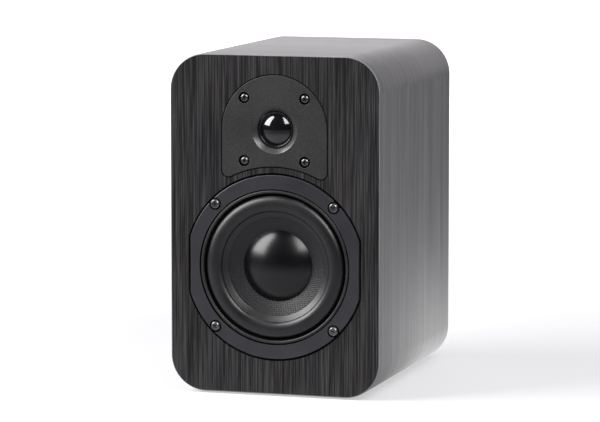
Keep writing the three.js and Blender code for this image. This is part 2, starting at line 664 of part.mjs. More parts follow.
function buildTerminals() {
  const end = CABINET.depth;
  const floor = end - CUP.well;
  const outside = slab(roundedRectangle(CUP.width, CUP.height, CUP.corner), end - CUP.lip, end, 6);
  const wellWidth = CUP.width - 2 * CUP.rim;
  const wellHeight = CUP.height - 2 * CUP.rim;
  const shell = slab(roundedRectangle(wellWidth, wellHeight, CUP.corner),
    floor - 2.5, end - 1, 6);
  const hollow = slab(roundedRectangle(
    wellWidth - 2 * CUP.wall, wellHeight - 2 * CUP.wall, CUP.corner - CUP.wall), floor, end + 1, 6);
  const cuts = [hollow];
  const postX = POST.pitch / 2;
  for (const x of [-postX, postX]) {
    cuts.push(moved(rod(POST.tail + 0.1, floor - 5, end), x, 0, 0));
  }
  for (const [x, z] of cupScrewAt) {
    const sink = turned([[0, end + 1], [CUP_SCREW.head + 1.2, end + 1],
      [CUP_SCREW.shank + 0.2, end - CUP_SCREW.crown], [CUP_SCREW.shank + 0.2, end - 10],
      [0, end - 10]], 16);
    cuts.push(moved(sink, x, 0, z));
  }
  put(back, 'terminal_cup', shaped(outside, cuts, [shell]), plastic, 0, 0, cupZ);

  const collarEnd = floor + 3;
  const washerStart = collarEnd + GLUE;
  const nutStart = washerStart + NUT.washer + GLUE;
  const postProfile = [
    [0, floor - 8],
    [POST.tail, floor - 8],
    [POST.tail, floor + GLUE],
    [POST.collar, floor + GLUE],
    [POST.collar, collarEnd],
    [POST.radius, collarEnd],
    [POST.radius, floor + POST.out],
    [POST.bore, floor + POST.out],
    [POST.bore, floor + POST.out - 13],
    [0, floor + POST.out - 13],
  ];
  const wireHole = rod(1.2, -10, 10, 12).rotateX(Math.PI / 2);
  const post = shaped(turned(postProfile, 18), [moved(wireHole, 0, nutStart + 2, 0)]);
  const washer = ring(NUT.bore, NUT.radius + 0.3, washerStart, washerStart + NUT.washer, 24);
  const sides = [['red', -postX, redPlastic], ['black', postX, plastic]];
  for (const [colour, x, material] of sides) {
    put(back, `binding_post_${colour}`, post.clone(), gold, x, 0, cupZ);
    put(back, `clamp_washer_${colour}`, washer.clone(), gold, x, 0, cupZ);
    put(back, `thumb_nut_${colour}`, flutedNut(), material, x, nutStart, cupZ);
  }

  const size = CUP_SCREW;
  const countersunk = turned([[0, 0], [size.head, 0], [size.shank, -size.crown],
    [size.shank, -size.length + 2], [0, -size.length]], 16);
  const slotWidth = 0.8;
  const cross = shaped(countersunk, [
    block(4, 2.2, slotWidth, 0, 0, 0),
    block(slotWidth, 2.2, 4, 0, 0, 0),
  ]);
  cupScrewAt.forEach(([x, z], i) => {
    put(back, `cup_screw_${i + 1}`, cross.clone(), screwFinish, x, end - 0.2, cupZ + z);
  });
}

// ---------------------------------------------------------------- crossover and leads

function tube(points) {
  const section = new THREE.Shape();
  section.absarc(0, 0, LEAD, 0, 2 * Math.PI, false);
  const route = new THREE.CatmullRomCurve3(points.map((point) => new THREE.Vector3(...point)));
  const options = { steps: 16, extrudePath: route, curveSegments: 4, bevelEnabled: false };
  return new THREE.ExtrudeGeometry(section, options);
}

function buildCrossover() {
  const boardBottom = floorTop + BOARD.spacer;
  const boardTop = boardBottom + BOARD.thick;
  const middle = boardBottom + BOARD.thick / 2;
  const spacers = corners(BOARD.width / 2 - 6, BOARD.depth / 2 - 6).map(([x, y]) =>
    block(8, 8, BOARD.spacer, x, y, -(BOARD.thick + BOARD.spacer) / 2 + 0.2));
  const board = shaped(block(BOARD.width, BOARD.depth, BOARD.thick, 0, 0, 0), [], spacers);
  put(back, 'crossover_board', board, circuitBoard, 0, BOARD.y, middle);

  const drum = (size) => ring(size.bore, size.radius, -size.length / 2, size.length / 2, 20);
  const barrel = (size) => new THREE.CylinderGeometry(size.radius, size.radius, size.length, 24)
    .rotateZ(Math.PI / 2);
  const stand = (name, geometry, material, size, height) => {
    put(back, name, geometry, material, size.x, BOARD.y + size.y, boardTop + REST + height);
  };
  for (const [name, size] of [['woofer_inductor', WOOFER_CHOKE], ['tweeter_inductor', TWEETER_CHOKE]]) {
    stand(name, drum(size).rotateX(Math.PI / 2), copper, size, size.length / 2);
  }
  stand('woofer_capacitor', barrel(WOOFER_FILM), film, WOOFER_FILM, WOOFER_FILM.radius);
  stand('tweeter_capacitor', barrel(TWEETER_FILM), film, TWEETER_FILM, TWEETER_FILM.radius);
  stand('crossover_resistor', drum(RESISTOR).rotateZ(Math.PI / 2), plastic, RESISTOR, RESISTOR.radius);

  const rise = boardTop + LEAD + REST;
  const rear = CABINET.depth - CUP.well - 8 - LEAD - 1.5;
  const wooferTag = wooferZ + TAB.z;
  put(back, 'input_lead', tube([[0, rear, cupZ - 2], [0, rear - 2, cupZ - 18],
    [2, rear - 1, rise + 14], [3, BOARD.y + 32, rise]]), leadFinish);
  put(back, 'woofer_lead', tube([[-44, BOARD.y - 33, rise], [-48, BOARD.y - 50, rise + 4],
    [-30, BOARD.y - 66, wooferTag - 10], [-10, 50, wooferTag]]), leadFinish);
  put(back, 'tweeter_lead', tube([[44, BOARD.y - 33, rise], [56, BOARD.y - 44, rise + 12],
    [62, 72, wooferZ], [60, 48, tweeterZ - 40], [46, 34, tweeterZ - 8],
    [32.5, 24.5, tweeterZ]]), leadFinish);
}

buildCabinet();
buildWoofer();
buildTweeter();
buildPort();
buildTerminals();
buildCrossover();

export default speaker;
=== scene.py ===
# %% [markdown]
# # A two-way bookshelf speaker
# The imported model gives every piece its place, its size and the body that it moves with.
# This lesson gives those pieces the shape and finish of a real speaker. Each step says what
# the piece is, how it could be made, and why it is made the way it is.

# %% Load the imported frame
import math

import bmesh
import bpy
from mathutils import Matrix, Vector, noise
from mathutils.geometry import tessellate_polygon
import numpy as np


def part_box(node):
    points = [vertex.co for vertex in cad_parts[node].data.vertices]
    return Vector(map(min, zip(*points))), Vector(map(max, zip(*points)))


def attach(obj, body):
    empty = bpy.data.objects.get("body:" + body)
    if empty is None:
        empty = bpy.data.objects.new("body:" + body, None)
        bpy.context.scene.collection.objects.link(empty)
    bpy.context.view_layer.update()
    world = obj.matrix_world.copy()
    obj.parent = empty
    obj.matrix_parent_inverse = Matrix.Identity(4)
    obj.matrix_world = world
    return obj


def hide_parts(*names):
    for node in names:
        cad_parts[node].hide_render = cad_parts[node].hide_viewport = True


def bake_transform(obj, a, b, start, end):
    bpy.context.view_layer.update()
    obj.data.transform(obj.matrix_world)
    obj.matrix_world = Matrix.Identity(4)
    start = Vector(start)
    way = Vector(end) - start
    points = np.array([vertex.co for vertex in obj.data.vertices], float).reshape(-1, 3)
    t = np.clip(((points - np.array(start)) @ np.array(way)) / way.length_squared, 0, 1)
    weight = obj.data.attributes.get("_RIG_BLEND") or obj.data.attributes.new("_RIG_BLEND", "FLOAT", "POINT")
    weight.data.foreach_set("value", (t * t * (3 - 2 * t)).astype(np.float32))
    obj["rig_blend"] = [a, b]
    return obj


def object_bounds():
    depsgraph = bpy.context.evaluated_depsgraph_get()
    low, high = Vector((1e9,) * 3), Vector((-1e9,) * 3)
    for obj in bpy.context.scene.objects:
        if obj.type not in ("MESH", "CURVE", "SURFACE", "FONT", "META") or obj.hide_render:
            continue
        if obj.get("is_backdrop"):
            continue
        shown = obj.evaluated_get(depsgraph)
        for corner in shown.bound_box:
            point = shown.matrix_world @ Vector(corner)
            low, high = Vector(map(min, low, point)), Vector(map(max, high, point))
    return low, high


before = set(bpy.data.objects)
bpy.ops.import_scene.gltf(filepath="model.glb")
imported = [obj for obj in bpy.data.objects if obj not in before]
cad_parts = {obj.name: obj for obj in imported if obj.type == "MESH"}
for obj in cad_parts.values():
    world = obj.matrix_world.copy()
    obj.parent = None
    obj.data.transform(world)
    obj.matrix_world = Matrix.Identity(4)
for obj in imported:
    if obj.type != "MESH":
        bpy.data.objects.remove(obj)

cad_low, cad_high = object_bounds()
MM = 0.001
print("box of the packed model:", tuple(cad_low), tuple(cad_high))

# %% [markdown]
# ## Where things are
# A speaker is drawn from a few datum points: the middle of the front face, the middle of
# each driver's mounting flange, and the places on the back. They could be typed in, but
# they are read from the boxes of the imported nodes, so they can't drift from the model.

# %% Datum points


def middle(node):
    """Middle of a node's box, in metres."""
    low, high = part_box(node)
    return (low + high) / 2


def datum(node, depth_node):
    """The axis of one node, at the front of another."""
    centre = middle(node)
    return Vector((centre.x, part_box(depth_node)[0].y, centre.z))


def depths(node):
    """How far a node's front and back lie behind the speaker's front face, in millimetres."""
    low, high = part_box(node)
    return (low.y - FACE.y) / MM, (high.y - FACE.y) / MM


FACE = Vector((0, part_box("front_veneer")[0].y, 0))
WOOFER = datum("woofer_dust_cap", "woofer_basket")
TWEETER = datum("tweeter_dome", "tweeter_faceplate")
PORT = Vector((0, FACE.y, middle("port_tube").z))
CUP = Vector((0, FACE.y, middle("terminal_cup").z))
box_middle = middle("front_veneer").z / MM
print("woofer", tuple(WOOFER), "tweeter", tuple(TWEETER))

# %% [markdown]
# ## Meshes from profiles and outlines
# Most of a speaker is turned or moulded to a section, so two small makers cover it. One
# turns a profile about the driver's axis. The other stacks offset outlines, which gives every
# edge its own rounding, and fills the two ends of the stack, holes included. A primitive with
# a Bevel modifier would be quicker, but it rounds each edge alike.

# %% Mesh makers
ROUND_SIDES = 144
SMOOTH_BELOW = math.radians(24)
LEVEL_ABOVE = 0.99999
DOUBLES_WITHIN = 1e-7


def piece_from(name, vertices, faces, material, uvs=None):
    """A closed mesh object, normals outward, smooth over shallow angles."""
    mesh = bpy.data.meshes.new(name)
    mesh.from_pydata(vertices, [], faces)
    if uvs:
        layer = mesh.uv_layers.new(name="UVMap")
        for loop, uv in zip(layer.data, uvs):
            loop.uv = uv
    tidy_mesh(mesh)
    mesh.materials.append(material)
    made = bpy.data.objects.new(name, mesh)
    bpy.context.scene.collection.objects.link(made)
    return made


def tidy_mesh(mesh):
    """Merges doubles, turns the faces outward and marks the sharp edges."""
    work = bmesh.new()
    work.from_mesh(mesh)
    bmesh.ops.remove_doubles(work, verts=work.verts, dist=DOUBLES_WITHIN)
    bmesh.ops.recalc_face_normals(work, faces=work.faces)
    for edge in work.edges:
        level = [abs(face.normal.y) > LEVEL_ABOVE for face in edge.link_faces]
        edge.smooth = edge.calc_face_angle(0.0) < SMOOTH_BELOW and len(set(level)) == 1
    for face in work.faces:
        face.smooth = True
    work.to_mesh(mesh)
    work.free()


def spun(name, profile, at, material, sides=ROUND_SIDES):
    """Turns (radius, depth) points in millimetres about the y axis through a datum.
    A radius may be a function of the angle. A radius of 0 is a pole."""
    vertices = []
    rings = []
    steps = [0.0]
    for (r0, d0), (r1, d1) in zip(profile, profile[1:]):
        flat0 = r0(0) if callable(r0) else r0
        flat1 = r1(0) if callable(r1) else r1
        steps.append(steps[-1] + math.hypot(flat1 - flat0, d1 - d0))
    for radius, depth in profile:
        ring = []
        for k in range(1 if radius == 0 else sides):
            angle = 2 * math.pi * k / sides
            reach = radius(angle) if callable(radius) else radius
            ring.append(len(vertices))
            place = Vector((reach * math.cos(angle), depth, reach * math.sin(angle)))
            vertices.append(at + place * MM)
        rings.append(ring)
    joins = list(zip(rings, rings[1:], steps, steps[1:]))
    if profile[0][0] != 0:
        joins.append((rings[-1], rings[0], steps[-1], steps[-1] + 1))
    faces = []
    uvs = []
    for first, second, v0, v1 in joins:
        for k in range(sides):
            n = (k + 1) % sides
            u0, u1 = k / sides, (k + 1) / sides
            if len(first) == 1:
                faces.append((first[0], second[k], second[n]))
                uvs += [(u0, v0 * MM), (u0, v1 * MM), (u1, v1 * MM)]
            elif len(second) == 1:
                faces.append((first[k], second[0], first[n]))
                uvs += [(u0, v0 * MM), (u0, v1 * MM), (u1, v0 * MM)]
            else:
                faces.append((first[k], second[k], second[n], first[n]))
                uvs += [(u0, v0 * MM), (u0, v1 * MM), (u1, v1 * MM), (u1, v0 * MM)]
    return piece_from(name, vertices, faces, material, uvs)


def wall_faces(rows, count, closed):
    """Quads between neighbouring rows of vertices."""
    pairs = list(zip(rows, rows[1:]))
    if closed:
        pairs.append((rows[-1], rows[0]))
    faces = []
    for first, second in pairs:
        for k in range(count):
            n = (k + 1) % count
            faces.append((first[k], second[k], second[n], first[n]))
    return faces


def stacked(name, parts, at, material, capped=True):
    """Walls through (outline, levels) parts. An outline is a function of its inset that gives
    (x, z) points, and a level is (inset, depth), all in millimetres. The first and last
    levels of all the parts are filled together, so later parts are holes."""
    vertices = []
    faces = []
    ends = ([], [])
    uvs = []
    for outline, levels in parts:
        rows = []
        for inset, depth in levels:
            row = []
            for x, z in outline(inset):
                row.append(len(vertices))
                vertices.append(at + Vector((x, depth, z)) * MM)
            rows.append(row)
        ends[0].append(rows[0])
        ends[1].append(rows[-1])
        count = len(rows[0])
        faces += wall_faces(rows, count, not capped)
        uvs += wall_uvs(outline(0), levels, not capped)
    for end in ends if capped else ():
        flat = [index for row in end for index in row]
        loops = [[Vector((vertices[i].x, vertices[i].z, 0)) for i in row] for row in end]
        for triangle in tessellate_polygon(loops):
            faces.append([flat[i] for i in triangle])
            uvs += [(vertices[flat[i]].x, vertices[flat[i]].z) for i in triangle]
    return piece_from(name, vertices, faces, material, uvs)


def wall_uvs(points, levels, closed):
    """UV corners of a wall: the way round is u and the way along is v, in metres."""
    round_it = [0.0]
    for (x0, z0), (x1, z1) in zip(points, points[1:] + points[:1]):
        round_it.append(round_it[-1] + math.hypot(x1 - x0, z1 - z0) * MM)
    along = [0.0]
    for (i0, d0), (i1, d1) in zip(levels, levels[1:] + levels[:1]):
        along.append(along[-1] + math.hypot(i1 - i0, d1 - d0) * MM)
    last = len(levels) if closed else len(levels) - 1
    made = []
    for level in range(last):
        v0, v1 = along[level], along[level + 1]
        for k in range(len(points)):
            u0, u1 = round_it[k], round_it[k + 1]
            made += [(u0, v0), (u0, v1), (u1, v1), (u1, v0)]
    return made


def refinish(piece, material, wanted):
    """Gives another material to the faces whose centre and normal are wanted."""
    index = len(piece.data.materials)
    piece.data.materials.append(material)
    for face in piece.data.polygons:
        if wanted(face.center, face.normal):
            face.material_index = index


def away_from(spot, at):
    """How far a point is from the y axis through a datum, in millimetres."""
    return math.hypot(spot.x - at.x, spot.z - at.z) / MM


def sloped(facing):
    """Whether a face looks anywhere but straight along the depth."""
    return abs(facing.y) < 0.99


print("round pieces have", ROUND_SIDES, "sides unless they say otherwise")


# %% [markdown]
# ## Outlines
# The box, the arched plate, the flatted woofer flange and the terminal tray are drawn as
# arcs that meet tangentially. Each is a function of an inset, so that its chamfers and its
# rebate in the wood are the same curve moved in or out.

# %% Outline makers
CABINET_WIDTH = (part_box("front_veneer")[1].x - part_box("front_veneer")[0].x) / MM
CABINET_HEIGHT = (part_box("front_veneer")[1].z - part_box("front_veneer")[0].z) / MM
CABINET_CORNER = 28
FLANGE_RADIUS = (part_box("woofer_basket")[1].z - WOOFER.z) / MM
FLANGE_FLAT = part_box("woofer_basket")[1].x / MM
ARCH_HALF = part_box("tweeter_faceplate")[1].x / MM
ARCH_DROP = (TWEETER.z - WOOFER.z) / MM
WOOD_BETWEEN = 6.5
ARCH_HOLLOW = FLANGE_RADIUS + WOOD_BETWEEN
ARCH_CORNER = 5
FLANGE_FIT = 1.1
PLATE_FIT = 0.6
FLANGE_SIDES = 180
SAME_PLACE = 1e-3
CORNERS = ((1, 1), (-1, 1), (-1, -1), (1, -1))


def arc(x, z, radius, start, end, steps):
    """Points of an arc, angles in radians."""
    made = []
    for k in range(steps + 1):
        angle = start + (end - start) * k / steps
        made.append((x + radius * math.cos(angle), z + radius * math.sin(angle)))
    return made


def without_doubles(points):
    """The points with neighbours that coincide dropped."""
    made = []
    for point in points:
        if not made or math.dist(point, made[-1]) > SAME_PLACE:
            made.append(point)
    if math.dist(made[0], made[-1]) <= SAME_PLACE:
        made.pop()
    return made


def rounded_rectangle(width, height, radius, x=0, z=0, steps=10):
    """An outline with its four corners rounded."""
    right, up = width / 2 - radius, height / 2 - radius
    quarter = math.pi / 2
    made = []
    for k, (sx, sz) in enumerate(CORNERS):
        made += arc(x + sx * right, z + sz * up, radius, k * quarter, (k + 1) * quarter, steps)
    return without_doubles(made)


def box_outline(inset):
    """The cabinet's outline."""
    size = (CABINET_WIDTH - 2 * inset, CABINET_HEIGHT - 2 * inset)
    return rounded_rectangle(*size, CABINET_CORNER - inset, 0, box_middle, 24)


def circle_outline(radius, x=0, z=0, steps=48):
    """A round hole whose inset widens it."""
    return lambda inset: arc(x, z, radius + inset, 0, 2 * math.pi, steps)[:-1]


def flange_reach(angle, inset=0.0):
    """Distance to the woofer flange's edge, which has a flat on its left and right."""
    to_flat = (FLANGE_FLAT - inset) / max(abs(math.cos(angle)), 1e-6)
    return min(FLANGE_RADIUS - inset, to_flat)


def flange_outline(grow):
    """The flange's outline, moved outwards."""
    made = []
    for k in range(FLANGE_SIDES):
        angle = 2 * math.pi * k / FLANGE_SIDES
        reach = flange_reach(angle, -grow)
        made.append((reach * math.cos(angle), reach * math.sin(angle)))
    return made


def arch_outline(grow):
    """The tweeter plate: half round above, hollow below to follow the woofer."""
    half = ARCH_HALF + grow
    corner = ARCH_CORNER + grow
    hollow = ARCH_HOLLOW - grow
    side = half - corner
    low = math.sqrt((hollow + corner) ** 2 - side**2) - ARCH_DROP
    lean = math.atan2(low + ARCH_DROP, side)
    made = arc(0, 0, half, 0, math.pi, 72)
    made += arc(-side, low, corner, math.pi, 2 * math.pi - lean, 14)
    made += arc(0, -ARCH_DROP, hollow, math.pi - lean, lean, 28)
    made += arc(side, low, corner, math.pi + lean, 2 * math.pi, 14)
    return without_doubles(made)


print("cabinet", CABINET_WIDTH, "x", CABINET_HEIGHT, "flange", FLANGE_RADIUS, FLANGE_FLAT)

# %% [markdown]
# ## Writing node trees briefly
# A node tree is a list of nodes and links. One helper makes a node, sets its options and
# fills its inputs, where a value is either a number or another node's output.

# %% Node helpers


def node(tree, kind, sources=None, **options):
    """A new node. Sources are inputs by name or number, each a value or an output socket."""
    made = tree.nodes.new(kind)
    for key, value in options.items():
        setattr(made, key, value)
    for key, source in (sources or {}).items():
        socket = made.inputs[key]
        if isinstance(source, bpy.types.NodeSocket):
            tree.links.new(source, socket)
        else:
            socket.default_value = source
    return made


def math_node(tree, operation, first, second=0.5, third=0.5):
    """The output of a Math node."""
    sources = {0: first, 1: second, 2: third}
    return node(tree, "ShaderNodeMath", sources, operation=operation).outputs[0]


def product(tree, first, second):
    """The product of two values."""
    return math_node(tree, "MULTIPLY", first, second)


def spread(tree, value, low, high, to_low=0.0, to_high=1.0):
    """A Map Range node's output, clamped."""
    sources = {0: value, 1: low, 2: high, 3: to_low, 4: to_high}
    return node(tree, "ShaderNodeMapRange", sources).outputs[0]


def mixed(tree, factor, first, second, blend="MIX"):
    """The colour output of a Mix node."""
    made = node(tree, "ShaderNodeMix", data_type="RGBA", blend_type=blend)
    for index, source in ((0, factor), (6, first), (7, second)):
        if isinstance(source, bpy.types.NodeSocket):
            tree.links.new(source, made.inputs[index])
        elif index == 0:
            made.inputs[0].default_value = source
        else:
            made.inputs[index].default_value = (*source, 1)
    return made.outputs[2]


def shader_group(name, inputs, outputs):
    """An empty shader node group with float inputs beside its Vector."""
    tree = bpy.data.node_groups.new(name, "ShaderNodeTree")
    tree.interface.new_socket("Vector", in_out="INPUT", socket_type="NodeSocketVector")
    for label, value in inputs.items():
        made = tree.interface.new_socket(label, in_out="INPUT", socket_type="NodeSocketFloat")
        made.default_value = value
    for label in outputs:
        tree.interface.new_socket(label, in_out="OUTPUT", socket_type="NodeSocketFloat")
    return tree, node(tree, "NodeGroupInput").outputs, node(tree, "NodeGroupOutput").inputs


def use_group(tree, group, sources):
    """The outputs of a group placed in a material."""
    made = node(tree, "ShaderNodeGroup", node_tree=group)
    for key, source in sources.items():
        if isinstance(source, bpy.types.NodeSocket):
            tree.links.new(source, made.inputs[key])
        else:
            made.inputs[key].default_value = source
    return made.outputs


def front_plane(tree, place):
    """The x and z of a place, as the x and y of a flat texture vector."""
    parts = node(tree, "ShaderNodeSeparateXYZ", {0: place}).outputs
    return node(tree, "ShaderNodeCombineXYZ", {0: parts[0], 1: parts[2], 2: 0.0}).outputs[0]


def depth_of(tree, place):
    """The y of a place."""
    return node(tree, "ShaderNodeSeparateXYZ", {0: place}).outputs[1]


print("node helpers ready")


# %% [markdown]
# ## Effects that several finishes share
# Long grain, fine moulded texture, woven cloth, lighter edges and settled dust each appear on more than one
# piece. The lighter edges are rubbed wear, and on the woofer frame and the screws also a painted highlight.
# Each is a node group that puts out masks and heights, so that a material only has to say how strong it is
# and what colours it drives.

# %% Long grain


def make_grain():
    """Streaks along y of the vector: a broad figure, fine fibres, and dark pores."""
    tree, given, out = shader_group(
        "long_grain",
        {"Width": 300.0, "Length": 6.0, "Wander": 0.004},
        ("Figure", "Fibre", "Pore", "Tint"),
    )
    bend = node(tree, "ShaderNodeTexNoise", {"Vector": given["Vector"], "Scale": 9.0, "Detail": 2.0})
    push = product(tree, bend.outputs[0], given["Wander"])
    parts = node(tree, "ShaderNodeSeparateXYZ", {0: given["Vector"]}).outputs
    across = math_node(tree, "ADD", parts[0], push)

    def streaks(width, length, detail, offset):
        x = product(tree, across, product(tree, given["Width"], width))
        y = product(tree, parts[1], product(tree, given["Length"], length))
        place = node(tree, "ShaderNodeCombineXYZ", {0: x, 1: y, 2: offset}).outputs[0]
        sources = {"Vector": place, "Scale": 1.0, "Detail": detail, "Roughness": 0.6}
        return node(tree, "ShaderNodeTexNoise", sources).outputs[0]

    tree.links.new(spread(tree, streaks(0.35, 0.5, 4.0, 1.3), 0.35, 0.65), out["Figure"])
    tree.links.new(spread(tree, streaks(0.9, 1.6, 4.0, 4.7), 0.4, 0.66), out["Fibre"])
    tree.links.new(spread(tree, streaks(0.8, 1.0, 3.0, 8.1), 0.5, 0.62), out["Pore"])
    tree.links.new(spread(tree, streaks(0.2, 0.8, 1.0, 11.9), 0.35, 0.65), out["Tint"])
    return tree


GRAIN = make_grain()
print("group", GRAIN.name)

# %% Fine moulded or painted texture


def make_speckle():
    """Small even bumps, as spark-eroded tools and powder paint leave, and slow mottling."""
    tree, given, out = shader_group("speckle", {"Scale": 2500.0}, ("Height", "Mottle"))
    place = {"Vector": given["Vector"], "Scale": given["Scale"], "Detail": 2.0}
    fine = node(tree, "ShaderNodeTexNoise", place).outputs[0]
    cells = node(tree, "ShaderNodeTexVoronoi", {"Vector": given["Vector"], "Scale": given["Scale"]})
    height = math_node(tree, "MULTIPLY_ADD", cells.outputs[0], 0.5, fine)
    tree.links.new(height, out["Height"])
    slow = {"Vector": given["Vector"], "Scale": 35.0, "Detail": 3.0}
    patches = node(tree, "ShaderNodeTexNoise", slow).outputs[0]
    tree.links.new(spread(tree, patches, 0.3, 0.7), out["Mottle"])
    return tree


SPECKLE = make_speckle()
print("group", SPECKLE.name)

# %% Plain weave


def make_weave():
    """Crossed threads over and under each other, in the x and y of the vector."""
    tree, given, out = shader_group("plain_weave", {"Threads": 900.0}, ("Height", "Gap", "Warp"))
    parts = node(tree, "ShaderNodeSeparateXYZ", {0: given["Vector"]}).outputs
    x = product(tree, parts[0], given["Threads"])
    y = product(tree, parts[1], given["Threads"])
    ridge_x = math_node(tree, "ABSOLUTE", math_node(tree, "SINE", product(tree, x, math.pi)))
    ridge_y = math_node(tree, "ABSOLUTE", math_node(tree, "SINE", product(tree, y, math.pi)))
    turn = math_node(tree, "ADD", math_node(tree, "FLOOR", x), math_node(tree, "FLOOR", y))
    over = math_node(tree, "FLOORED_MODULO", turn, 2.0)
    under = math_node(tree, "SUBTRACT", 1.0, over)
    warp = product(tree, math_node(tree, "MULTIPLY_ADD", ridge_y, 0.6, 0.4), over)
    weft = product(tree, math_node(tree, "MULTIPLY_ADD", ridge_x, 0.6, 0.4), under)
    thread = math_node(tree, "ADD", product(tree, warp, ridge_x), product(tree, weft, ridge_y))
    tree.links.new(thread, out["Height"])
    tree.links.new(spread(tree, thread, 0.35, 0.05), out["Gap"])
    tree.links.new(over, out["Warp"])
    return tree


WEAVE = make_weave()
print("group", WEAVE.name)

# %% Rubbed and highlit edges, and dust


def make_edge():
    """A mask along convex and concave edges, broken up by noise."""
    tree, given, out = shader_group("rubbed_and_highlit_edge", {"Radius": 0.0006, "Breakup": 90.0}, ("Edge",))
    soft = node(tree, "ShaderNodeBevel", {"Radius": given["Radius"]}, samples=4).outputs[0]
    hard = node(tree, "ShaderNodeNewGeometry").outputs["Normal"]
    alike = node(tree, "ShaderNodeVectorMath", {0: soft, 1: hard}, operation="DOT_PRODUCT")
    near = alike.outputs["Value"]
    place = {"Vector": given["Vector"], "Scale": given["Breakup"], "Detail": 4.0}
    patch = spread(tree, node(tree, "ShaderNodeTexNoise", place).outputs[0], 0.35, 0.65)
    tree.links.new(product(tree, spread(tree, near, 0.98, 0.8), patch), out["Edge"])
    return tree


def make_dust():
    """Fine dust that lies where a face looks up."""
    tree, given, out = shader_group("dust", {"Amount": 0.15}, ("Dust",))
    normal = node(tree, "ShaderNodeNewGeometry").outputs["Normal"]
    up = node(tree, "ShaderNodeSeparateXYZ", {0: normal}).outputs[2]
    place = {"Vector": given["Vector"], "Scale": 60.0, "Detail": 8.0, "Roughness": 0.7}
    patch = spread(tree, node(tree, "ShaderNodeTexNoise", place).outputs[0], 0.4, 0.75)
    lying = product(tree, spread(tree, up, 0.3, 1.0), patch)
    tree.links.new(product(tree, lying, given["Amount"]), out["Dust"])
    return tree


EDGE = make_edge()
DUST = make_dust()
print("groups", EDGE.name, DUST.name)

# %% [markdown]
# ## A recipe for moulded, painted, cast and plated finishes
# Many pieces differ only in two colours, a roughness and the size of their texture. One recipe makes those:
# mottled colour, fine bumps, lighter edges, which are rubbed wear and on some pieces a painted highlight,
# and a little dust. What is constant over a piece, such as its coat, is set on the shader's own socket.

# %% The common recipe


def start_material(name):
    """An empty node material with its Principled shader and object coordinates."""
    made = bpy.data.materials.new(name)
    made.use_nodes = True
    tree = made.node_tree
    tree.nodes.clear()
    shader = node(tree, "ShaderNodeBsdfPrincipled")
    node(tree, "ShaderNodeOutputMaterial", {0: shader.outputs[0]})
    place = node(tree, "ShaderNodeTexCoord").outputs["Object"]
    return made, tree, shader, place


def bump(tree, shader, height, strength, distance=0.0002):
    """Drives the shader's Normal from a height."""
    sources = {"Height": height, "Strength": strength, "Distance": distance}
    made = node(tree, "ShaderNodeBump", sources)
    tree.links.new(made.outputs[0], shader.inputs["Normal"])


def moulded(
    name, dark, light, rough, scale=2500.0, height=0.15, edge_wear_and_highlight=None, dust=0.1, paler_tops=0.0, **sockets
):
    """A finish with two close colours, a fine texture, lighter edges and dust. The lighter edges are rubbed
    wear, and where their colour is far paler than the finish they are a painted highlight as well. Paler
    tops is how much paler the tops of the texture are."""
    made, tree, shader, place = start_material(name)
    texture = use_group(tree, SPECKLE, {"Vector": place, "Scale": scale})
    colour = mixed(tree, texture["Mottle"], dark, light)
    # The high points of the fine texture turn towards a paler copy of the light colour.
    tops = spread(tree, texture["Height"], 0.5, 1.1, 0.0, paler_tops)
    colour = mixed(tree, tops, colour, tuple(3 * value for value in light))
    edge = use_group(tree, EDGE, {"Vector": place})["Edge"]
    edge_wear_and_highlight_colour = edge_wear_and_highlight or tuple(min(1.0, 1.6 * value + 0.01) for value in light)
    colour = mixed(tree, product(tree, edge, 0.6), colour, edge_wear_and_highlight_colour)
    lying = use_group(tree, DUST, {"Vector": place, "Amount": dust})["Dust"]
    colour = mixed(tree, lying, colour, (0.45, 0.44, 0.42))
    tree.links.new(colour, shader.inputs["Base Color"])
    uneven = spread(tree, texture["Mottle"], 0.0, 1.0, rough - 0.04, rough + 0.04)
    tree.links.new(math_node(tree, "ADD", uneven, lying), shader.inputs["Roughness"])
    bump(tree, shader, texture["Height"], height, 0.0001)
    for key, value in sockets.items():
        shader.inputs[key.replace("_", " ")].default_value = value
    return made


# %% [markdown]
# ## The wood face and the wrapped box
# The front is a dark stained open-grain face. Its grain stands upright, so the streaks run
# along z. The box is wrapped in one sheet of grey vinyl with a printed brushed grain,
# and the sheet goes round the box, so its grain follows the UV map round the corners. A
# flat colour with noise would look like plastic: the streaks have to be long and thin.

# %% Wood and vinyl


def make_wood():
    """Dark stained wood with black pores and faint brown and violet tints."""
    made, tree, shader, place = start_material("stained_wood")
    flat = front_plane(tree, place)
    grain = use_group(tree, GRAIN, {"Vector": flat, "Width": 1000.0, "Length": 10.0, "Wander": 0.0015})
    colour = mixed(tree, grain["Figure"], (0.004, 0.0039, 0.004), (0.016, 0.0155, 0.0158))
    tinted = mixed(tree, grain["Tint"], (0.02, 0.0145, 0.013), (0.014, 0.013, 0.019))
    colour = mixed(tree, 0.35, colour, tinted)
    fibre = product(tree, grain["Fibre"], 0.6)
    pore = product(tree, grain["Pore"], 0.93)
    colour = mixed(tree, fibre, colour, (0.074, 0.072, 0.073))
    colour = mixed(tree, pore, colour, (0.0015, 0.0015, 0.0015))
    tree.links.new(colour, shader.inputs["Base Color"])
    tree.links.new(spread(tree, grain["Pore"], 0.0, 1.0, 0.3, 0.6), shader.inputs["Roughness"])
    relief = math_node(tree, "MULTIPLY_ADD", grain["Pore"], -1.0, grain["Fibre"])
    bump(tree, shader, relief, 0.25, 0.0001)
    shader.inputs["Specular IOR Level"].default_value = 0.2
    return made


